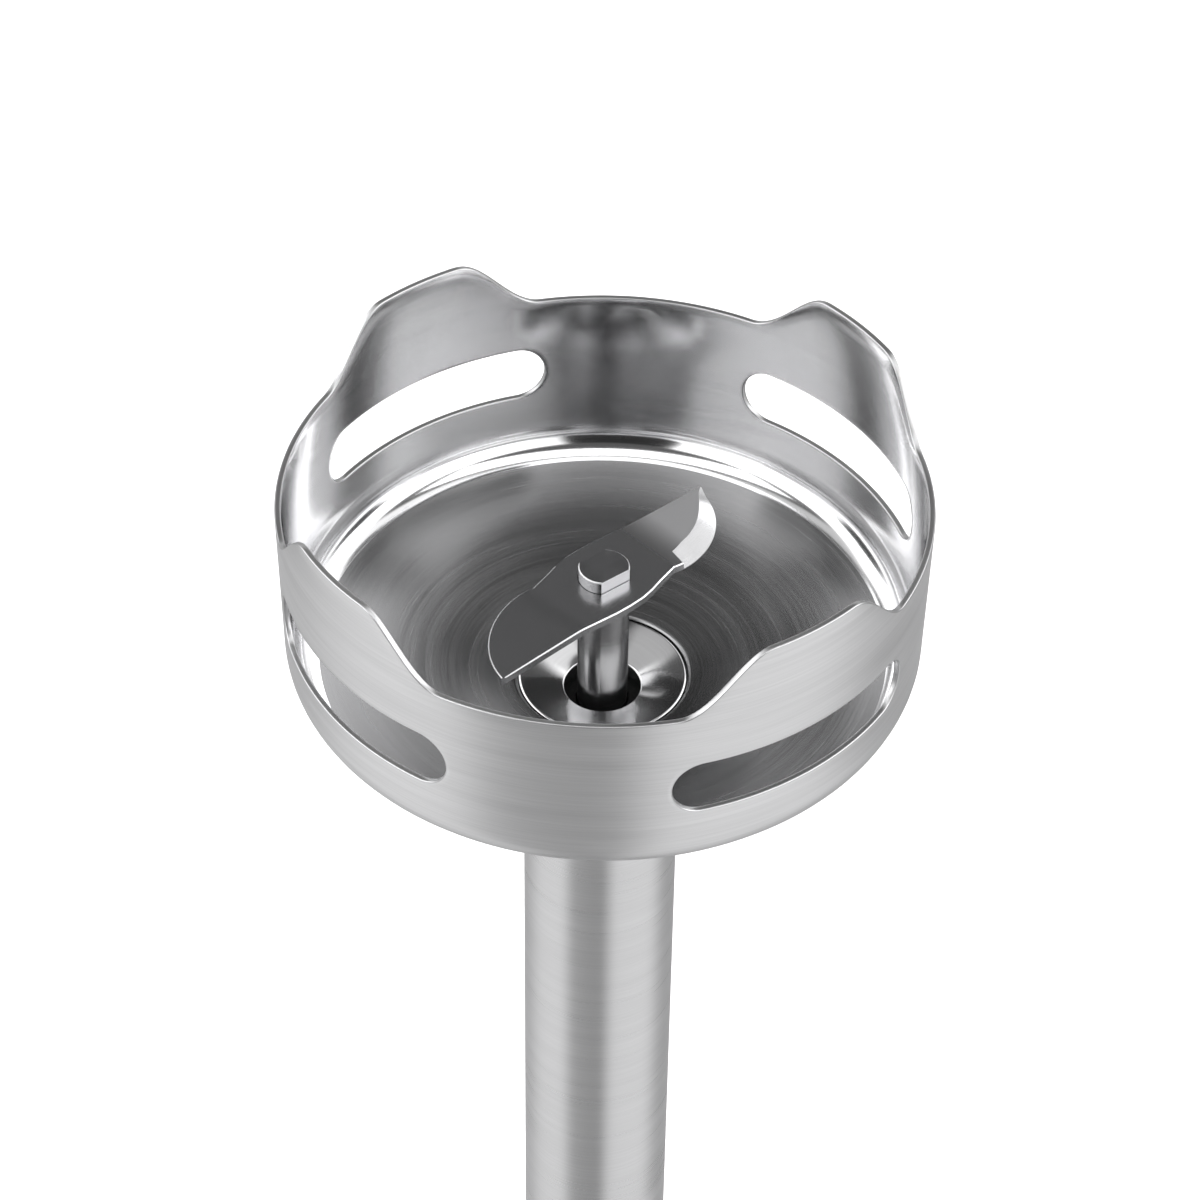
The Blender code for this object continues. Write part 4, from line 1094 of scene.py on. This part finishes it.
def make_housing(plastic):
    """Two shells split along the YZ plane; the right one has the screw seats."""
    outer = smooth_run(housing_stations())
    mouth = MOUTH_R
    top = HOUSING_TOP - WALL
    inner = [(r - WALL, z) for r, z in outer if z < HOUSING_TOP - 0.0120]
    inner = [(mouth, top), (mouth + 0.0060, top - 0.0020)] + inner
    section = [(mouth, HOUSING_TOP - 0.0004), (mouth + 0.0004, HOUSING_TOP)]
    section += [(outer[0][0] - 0.0006, HOUSING_TOP)] + outer[1:] + list(reversed(inner))
    for name, side in (("housing_left", -1), ("housing_right", 1)):
        shell = revolve(name + "_fine", section, [plastic["body"]], FINE)
        far = BARREL_R + 0.0200
        edges = sorted((side * FIT / 2, -side * far))
        boolean(shell, boxes("split", [((edges[0], -far, 0.0), (edges[1], far, RIM_Z))]))
        boolean(shell, joined("housing_tools", housing_tools(side)))
        if side > 0:
            seats = []
            for y, z in SCREWS:
                reach = boss_reach(z)
                seats.append(((reach - SCREW_SEAT, y, z), (reach + 0.0200, y, z), BOSS_R - FIT))
            boolean(shell, rods("seat_tool", seats, segments=40))
        place(shell, "motor_body", "dark_plastic", name)


def make_screws(steel):
    """Recessed screws with a cross slot, axis along X."""
    for i, (y, z) in enumerate(SCREWS):
        seat = boss_reach(z) - SCREW_SEAT + FIT
        length = seat + 0.0100
        section = rounded(
            [
                (0.0, seat + 0.0016), (0.0020, seat + 0.0013, 0.0006), (0.0020, seat, 0.0001),
                (0.0012, seat, 0.0001), (0.0012, seat - length + 0.0010, 0.0003),
                (0.0, seat - length),
            ],
            closed=False,
        )
        screw = revolve("housing_screw_%d_fine" % (i + 1), section, [steel["dark"]], 40, closed=False)
        top = seat + 0.0030
        arms = (((-0.0012, -0.0002), (0.0012, 0.0002)), ((-0.0002, -0.0012), (0.0002, 0.0012)))
        for low, high in arms:
            boolean(screw, boxes("cross", [((*low, seat + 0.0007), (*high, top))]))
        screw.data.transform(Matrix.Translation((0, y, z)) @ Matrix.Rotation(pi / 2, 4, "Y"))
        place(screw, "motor_body", "dark_steel", "housing_screw_%d" % (i + 1))


def make_sleeve(rubber):
    """Rubber band with four grooves."""
    low, high = SLEEVE_LOW.z, SLEEVE_HIGH.z
    inner, outer = GRIP_R + FIT, SLEEVE_HIGH.x
    section = [(inner, high, 0.0002), (outer, high, 0.0006)]
    grooves = 4
    pitch = (high - low) / (grooves + 1)
    for i in range(grooves):
        z = high - pitch * (i + 1)
        section += [(outer, z + 0.0007, 0.0004), (outer - 0.0006, z, 0.0004)]
        section += [(outer, z - 0.0007, 0.0004)]
    section += [(outer, low, 0.0006), (inner, low, 0.0002)]
    lathe("grip_sleeve", "motor_body", "soft_grip", rubber["grip"], section, FINE, steps=4)


def make_end_cap(plastic):
    """Cap under the housing, with air slots at both sides and room for the inlet."""
    top = HOUSING_FOOT - FIT
    foot, web = FOOT_HEIGHT, 0.0030
    section = rounded(
        [
            (0.0, 0.0040 + web), (FOOT_R - 0.0130, 0.0040 + web, 0.0005),
            (FOOT_R - 0.0124, foot + web, 0.0005), (FOOT_R - 0.0040, foot + web, 0.0010),
            (FOOT_R - WALL, foot + 0.0060, 0.0010), (FOOT_R - WALL, top, 0.0003),
            (FOOT_R, top, 0.0005), (FOOT_R + 0.0004, top - 0.0120, 0.0100),
            (FOOT_R, foot + 0.0040, 0.0040), (FOOT_R - 0.0012, foot, 0.0005),
            (FOOT_R - 0.0104, foot, 0.0003), (FOOT_R - 0.0108, 0.0040, 0.0004), (0.0, 0.0040),
        ],
        closed=False,
    )
    cap = revolve("end_cap_fine", section, [plastic["body"]], FINE, closed=False)
    tools = []
    for row in range(-2, 3):
        z = 0.0230 + row * 0.0030
        for side in (1, -1):
            edges = sorted((side * (FOOT_R - 0.0060), side * (FOOT_R + 0.0050)))
            low, high = (edges[0], -0.0100, z - 0.0007), (edges[1], 0.0100, z + 0.0007)
            tools.append(rounded_box("vent", low, high, 0.00065))
    low, high = (-0.0113, FOOT_R - 0.0060, 0.0147), (0.0113, FOOT_R + 0.0050, 0.0293)
    tools.append(rounded_box("room", low, high, 0.0010))
    boolean(cap, joined("cap_tools", tools))
    place(cap, "motor_body", "dark_plastic", "end_cap")


def make_foot(rubber):
    outer, inner, high = FOOT_R - 0.0016, FOOT_R - 0.0100, FOOT_HEIGHT - FIT
    section = [
        (outer, high, 0.0004), (outer + 0.0004, 0.0050, 0.0020), (outer, 0.0014, 0.0010),
        (outer - 0.0012, 0.0, 0.0006), (inner + 0.0012, 0.0, 0.0006), (inner, 0.0012, 0.0006),
        (inner, high, 0.0003),
    ]
    lathe("bumper_foot", "motor_body", "black_rubber", rubber["black"], section, FINE)


def make_inlet(plastic, steel):
    """Power inlet: a recessed body and two round pins."""
    low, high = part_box("inlet_body")
    body = rounded_box("inlet_body_fine", low, high, 0.0009, [plastic["inlet"]])
    room_low = (low.x + 0.0018, low.y + 0.0030, low.z + 0.0018)
    room_high = (high.x - 0.0018, high.y + 0.0030, high.z - 0.0018)
    boolean(body, rounded_box("recess", room_low, room_high, 0.0010))
    place(body, "motor_body", "inlet_plastic", "inlet_body")
    for name in ("inlet_pin_left", "inlet_pin_right"):
        low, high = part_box(name)
        x, z = (low.x + high.x) / 2, (low.z + high.z) / 2
        radius = (high.x - low.x) / 2
        pin = rods(name + "_fine", [((x, low.y, z), (x, high.y, z), radius)], [steel["brass"]], 32)
        bevelled(pin, 0.0005, 4)
        place(pin, "motor_body", "pin_brass", name)


# ---------------------------------------------------------------- controls
def make_trigger(plastic):
    """Dished lever with cross ribs, held behind the housing by two tabs."""
    low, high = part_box("trigger")
    z_low, z_high = low.z + TRIGGER_TAB, high.z - TRIGGER_TAB
    front, back = low.y, high.y
    shoulder = back - 0.0015
    half = high.x

    def face(t):
        """(y, z) on the dished front, from its top (0) to its bottom (1)."""
        z = z_high - 0.0020 - (z_high - z_low - 0.0040) * t
        return front + TRIGGER_DISH * sin(pi * t), z

    outline = [(shoulder + 0.0005, z_high), (front + 0.0030, z_high)]
    steps = 24
    outline += [face(i / steps) for i in range(steps + 1)]
    outline += [(front + 0.0030, z_low), (shoulder + 0.0005, z_low)]
    outline += [(shoulder + 0.0005, low.z), (back, low.z), (back, high.z)]
    outline += [(shoulder + 0.0005, high.z)]
    rings = [[(side * half, y, z) for y, z in outline] for side in (-1, 1)]
    piece = loft("trigger_fine", rings, [plastic["trigger"]])
    bevelled(piece, 0.0009, 4, 40.0)
    ribs = []
    count = 7
    for k in range(count):
        y, z = face(0.25 + 0.5 * k / (count - 1))
        ribs.append(((-half * 0.62, y + 0.0001, z), (half * 0.62, y + 0.0001, z), 0.00045))
    boolean(piece, rods("rib_tool", ribs, segments=16))
    place(piece, "trigger", "trigger_plastic", "trigger")


def make_wheel(rubber):
    """Notched wheel turning about X."""
    low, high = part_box("speed_wheel")
    centre = (low + high) / 2
    radius = (high.z - low.z) / 2
    half = (high.x - low.x) / 2
    notches, per = 30, 8
    rings = []
    for x, r, depth in (
        (-half, radius * 0.55, 0.0), (-half, radius - 0.0012, 0.0),
        (-half + 0.0003, radius - 0.0005, 0.6), (-half + 0.0010, radius, 1.0),
        (half - 0.0010, radius, 1.0), (half - 0.0003, radius - 0.0005, 0.6),
        (half, radius - 0.0012, 0.0), (half, radius * 0.55, 0.0),
    ):
        ring = []
        for k in range(notches * per):
            angle = 2 * pi * k / (notches * per)
            reach = r - depth * 0.0005 * (0.5 + 0.5 * cos(notches * angle))
            ring.append((centre.x + x, centre.y + reach * cos(angle), centre.z + reach * sin(angle)))
        rings.append(ring)
    piece = loft("speed_wheel_fine", rings, [rubber["grip"]])
    place(piece, "wheel", "soft_grip", "speed_wheel")


def make_button(plastic):
    """Round lock button with a dished end and a collar inside the housing."""
    low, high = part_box("lock_button")
    radius = BUTTON_R
    z = (low.z + high.z) / 2
    shoulder = GRIP_R - 0.0050
    front = high.y
    section = rounded(
        [
            (0.0, front - 0.0006), (radius * 0.55, front - 0.0004, 0.0020),
            (radius * 0.78, front, 0.0006), (radius, front - 0.0001, 0.0006),
            (radius, shoulder, 0.0001), (radius + 0.0018, shoulder, 0.0002),
            (radius + 0.0018, low.y, 0.0002), (0.0, low.y),
        ],
        closed=False,
        steps=6,
    )
    button = revolve("lock_button_fine", section, [plastic["trigger"]], 72, closed=False)
    button.data.transform(Matrix.Translation((0, 0, z)) @ Matrix.Rotation(-pi / 2, 4, "X"))
    place(button, "lock", "trigger_plastic", "lock_button")


# ---------------------------------------------------------------- materials of carried nodes
def dress_carried_nodes(steel, plastic, rubber):
    """Materials for the CAD pieces that are kept as they are."""
    bars = plain_metal("commutator_copper", (0.76, 0.38, 0.20), 0.25, 800.0, 0.15, 0.2)
    looks = {
        "core_iron": laminated("core_iron", (0.30, 0.30, 0.31), 0.40),
        "copper_wire": wound("copper_wire", (0.72, 0.33, 0.16), 0.30),
        "cast_bracket": plain_metal("cast_bracket", (0.68, 0.68, 0.69), 0.42, 500.0, 0.10, 0.4),
        "bearing_steel": turned_metal("bearing_steel", 0.60, 0.16, "r", 0.4),
        "bronze": plain_metal("sintered_bronze", (0.58, 0.40, 0.20), 0.45, 1400.0, 0.2, 0.3),
        "carbon": plain_metal("carbon", (0.04, 0.04, 0.04), 0.6, 1200.0, 0.2, 0.3, 0.0),
        "spring_steel": plain_metal("spring_steel", (0.55, 0.55, 0.56), 0.25, 1600.0),
        "dark_steel": steel["dark"],
        "turned_steel": steel["turned"],
        "shaft_steel": steel["shaft"],
        "pin_brass": steel["brass"],
        "black_rubber": rubber["black"],
        "pale_plastic": plastic["pale"],
        "inlet_plastic": plastic["inlet"],
        "board": printed_board("board_green"),
    }
    slots = {row["node"]: row["material_slot"] for row in frame["record"]["subparts"]}
    for name, node in frame["nodes"].items():
        look = bars if name == "commutator" else looks.get(slots[name])
        if look:
            node.data.materials.clear()
            node.data.materials.append(look)


# ---------------------------------------------------------------- studio
def in_view(vector):
    """A camera-aligned vector (x right, y away) turned into the frame."""
    return Matrix.Rotation(VIEW_TURN, 3, "Z") @ Vector(vector)


def make_camera():
    """Lens, distance and roll of the photograph's view, aimed at the bell."""
    elevation = radians(40.76)
    distance = 0.56854
    roll = radians(-0.813)
    rim = Vector((0.0, 0.0, RIM_Z))
    eye = Vector((0.0, -cos(elevation), sin(elevation))) * distance
    target = Vector((-0.00056, 0.0, -0.02107))
    forward = (target - eye).normalized()
    level = forward.cross(Vector((0, 0, 1))).normalized()
    up = level.cross(forward)
    right = level * cos(roll) - up * sin(roll)
    top = level * sin(roll) + up * cos(roll)
    turn = Matrix.Rotation(VIEW_TURN, 3, "Z")
    axes = Matrix((turn @ right, turn @ top, turn @ -forward)).transposed()
    data = bpy.data.cameras.new("camera")
    data.sensor_width = 36.0
    data.lens = 112.66
    data.clip_start = 0.01
    camera = add_object("camera", data)
    camera.matrix_world = Matrix.Translation(rim + turn @ eye) @ axes.to_4x4()
    bpy.context.scene.camera = camera


def make_world():
    """Soft surround in bands of height: low walls, bright sides, dark upper walls, ceiling."""
    world = bpy.data.worlds.new("studio")
    bpy.context.scene.world = world
    world.use_nodes = True
    nodes = Nodes(world.node_tree)
    coords = nodes.add("ShaderNodeTexCoord").outputs["Generated"]
    split = nodes.add("ShaderNodeSeparateXYZ")
    nodes.link(coords, split.inputs[0])
    x, y, z = split.outputs
    side = nodes.along(x, y, VIEW_TURN)
    ahead = nodes.along(x, y, VIEW_TURN - pi / 2)
    azimuth = nodes.math("ARCTAN2", side, ahead)
    turn = nodes.remap(azimuth, -pi, pi)

    def round_about(stops):
        return nodes.ramp(turn, [((angle + 180.0) / 360.0, level) for angle, level in stops])

    def upward(low, high, start=0.0, end=1.0):
        """Runs from start to end between two heights in degrees above the horizon."""
        return nodes.remap(z, sin(radians(low)), sin(radians(high)), start, end)

    walls, sides, upper = (round_about(one) for one in (LOW_WALLS, SIDE_WALLS, HIGH_WALLS))
    sweep = nodes.remap(ahead, -0.80, -0.70, 0.55, 0.0)
    fade = upward(20, 26, 1.0, 0.0)
    sides = nodes.times(sides, SIDE_GAIN)
    sides = nodes.math("MAXIMUM", sides, nodes.times(sweep, fade))
    high = upward(45, 49)
    falling = nodes.times(sides, nodes.math("SUBTRACT", 1.0, high))
    above = nodes.math("MULTIPLY_ADD", upper, high, falling)
    ceiling = upward(68, 76, 2.0, 0.4)
    above = nodes.times(above, ceiling)
    rise = upward(4, 20)
    lower = nodes.times(walls, nodes.math("SUBTRACT", 1.0, rise))
    surround = nodes.math("MULTIPLY_ADD", above, rise, lower)
    light = nodes.add("ShaderNodeBackground")
    nodes.link(surround, light.inputs[0])
    light.inputs[1].default_value = 1.0
    plain = nodes.add("ShaderNodeBackground")
    plain.inputs[0].default_value = (1.0, 1.0, 1.0, 1.0)
    plain.inputs[1].default_value = 1.05
    path = nodes.add("ShaderNodeLightPath")
    mix = nodes.add("ShaderNodeMixShader")
    nodes.link(path.outputs["Is Camera Ray"], mix.inputs[0])
    nodes.link(light.outputs[0], mix.inputs[1])
    nodes.link(plain.outputs[0], mix.inputs[2])
    output = nodes.add("ShaderNodeOutputWorld")
    nodes.link(mix.outputs[0], output.inputs[0])


def area_light(name, place_at, target, width, depth, watts):
    data = bpy.data.lights.new(name, "AREA")
    data.shape = "RECTANGLE"
    data.size = width
    data.size_y = depth
    data.energy = watts
    light = add_object(name, data)
    light.location = place_at
    line = Vector(target) - Vector(place_at)
    light.rotation_euler = line.to_track_quat("-Z", "Y").to_euler()
    light.visible_camera = False


def make_studio():
    """Surround, one overhead light and a pale floor round the foot."""
    make_world()
    target = (0, 0, RIM_Z)
    area_light("overhead", in_view((0.0, -0.24, 2.19)), target, 2.4, 0.8, 11.0)
    floor = revolve("floor", [(0.0, 0.0), (8.0, 0.0)], [], 96, closed=False)
    floor.data.flip_normals()
    material, _, shader = new_material("pale_floor", (0.9, 0.9, 0.9), 0.0, 0.2)
    shader.inputs["Roughness"].default_value = 0.9
    shader.inputs["Emission Color"].default_value = (1.0, 1.0, 1.0, 1.0)
    shader.inputs["Emission Strength"].default_value = 0.75
    floor.data.materials.append(material)
    floor.visible_glossy = False


def make_steel():
    """Steel and brass looks.  Turned ones: grey, roughness, lines, spread, grain, wear, bump."""
    turned = {
        "outside": ("bell_outside", 0.74, 0.34, "z", 0.65, 2600.0, 0.10, 0.14),
        "inside": ("bell_inside", 0.86, 0.12, "z", 0.25, 1800.0, 0.04, 0.05),
        # The bell floor's steel is set far darker than the walls', a painted shade standing in for
        # the dark it reflects.
        "floor": ("bell_floor_painted_shade", 0.28, 0.24, "r", 0.55, 2400.0, 0.14, 0.10),
        "edge": ("bell_edge", 0.58, 0.34, "z", 0.0, 1800.0, 0.06, 0.05),
        "tube": ("tube_steel", 0.72, 0.30, "z", 0.70, 2600.0, 0.07, 0.10),
        "turned": ("turned_steel", 0.66, 0.24, "z", 0.4),
        "dish": ("dish_steel", 0.68, 0.11, "r", 0.3, 2200.0, 0.05, 0.03),
        "shaft": ("shaft_steel", 0.42, 0.22, "z", 0.5, 1500.0, 0.05, 0.03),
    }
    steel = {key: turned_metal(*values) for key, values in turned.items()}
    # The head's flats are painted much lighter than the shaft's steel, a painted highlight.
    steel["head"] = scratched_metal("head_flats_painted_highlight", (0.84, 0.84, 0.85), 0.42, HEAD_TURN)
    steel["head_top"] = scratched_metal("head_top", (0.44, 0.44, 0.45), 0.22, HEAD_TURN, 0.10)
    steel["blade"] = blade_metal("blade_steel")
    # Near-white steel for the blade's edge strips: a painted highlight.
    steel["blade_edge_painted_highlight"] = plain_metal("blade_edge_painted_highlight", (0.92, 0.92, 0.93), 0.46, 2600.0, 0.05, 0.05)
    steel["ground"] = scratched_metal("ground_edge", (0.80, 0.80, 0.81), 0.24, radians(60), 0.15)
    steel["dark"] = plain_metal("dark_steel", (0.16, 0.16, 0.17), 0.34, 1100.0)
    steel["brass"] = plain_metal("pin_brass", (0.78, 0.60, 0.30), 0.24, 1200.0)
    return steel


def make_plastic():
    return {
        "body": moulded("body_plastic", (0.035, 0.035, 0.038), 0.42),
        "trigger": moulded("trigger_plastic", (0.22, 0.22, 0.23), 0.38),
        "pale": moulded("pale_plastic", (0.50, 0.50, 0.51), 0.40),
        "inlet": moulded("inlet_plastic", (0.025, 0.025, 0.026), 0.35),
    }


def make_rubber():
    return {
        "grip": moulded("grip_rubber", (0.020, 0.020, 0.021), 0.62, 1100.0, 0.45, 0.3, 0.0001),
        "black": moulded("black_rubber", (0.015, 0.015, 0.015), 0.70, 1200.0, 0.45, 0.3, 0.0001),
    }


def main():
    bpy.context.scene.view_settings.view_transform = "Standard"
    steel, plastic, rubber = make_steel(), make_plastic(), make_rubber()
    bell = make_bell([steel["outside"], steel["inside"], steel["floor"], steel["edge"]])
    place(bell, "arm", "bell_steel", "bell_guard")
    make_arm(steel)
    make_cup(steel)
    make_shaft(steel)
    make_blade(steel)
    make_collar(plastic)
    make_socket(steel)
    make_housing(plastic)
    make_screws(steel)
    make_sleeve(rubber)
    make_end_cap(plastic)
    make_foot(rubber)
    make_inlet(plastic, steel)
    make_trigger(plastic)
    make_wheel(rubber)
    make_button(plastic)
    dress_carried_nodes(steel, plastic, rubber)
    make_camera()
    make_studio()


main()
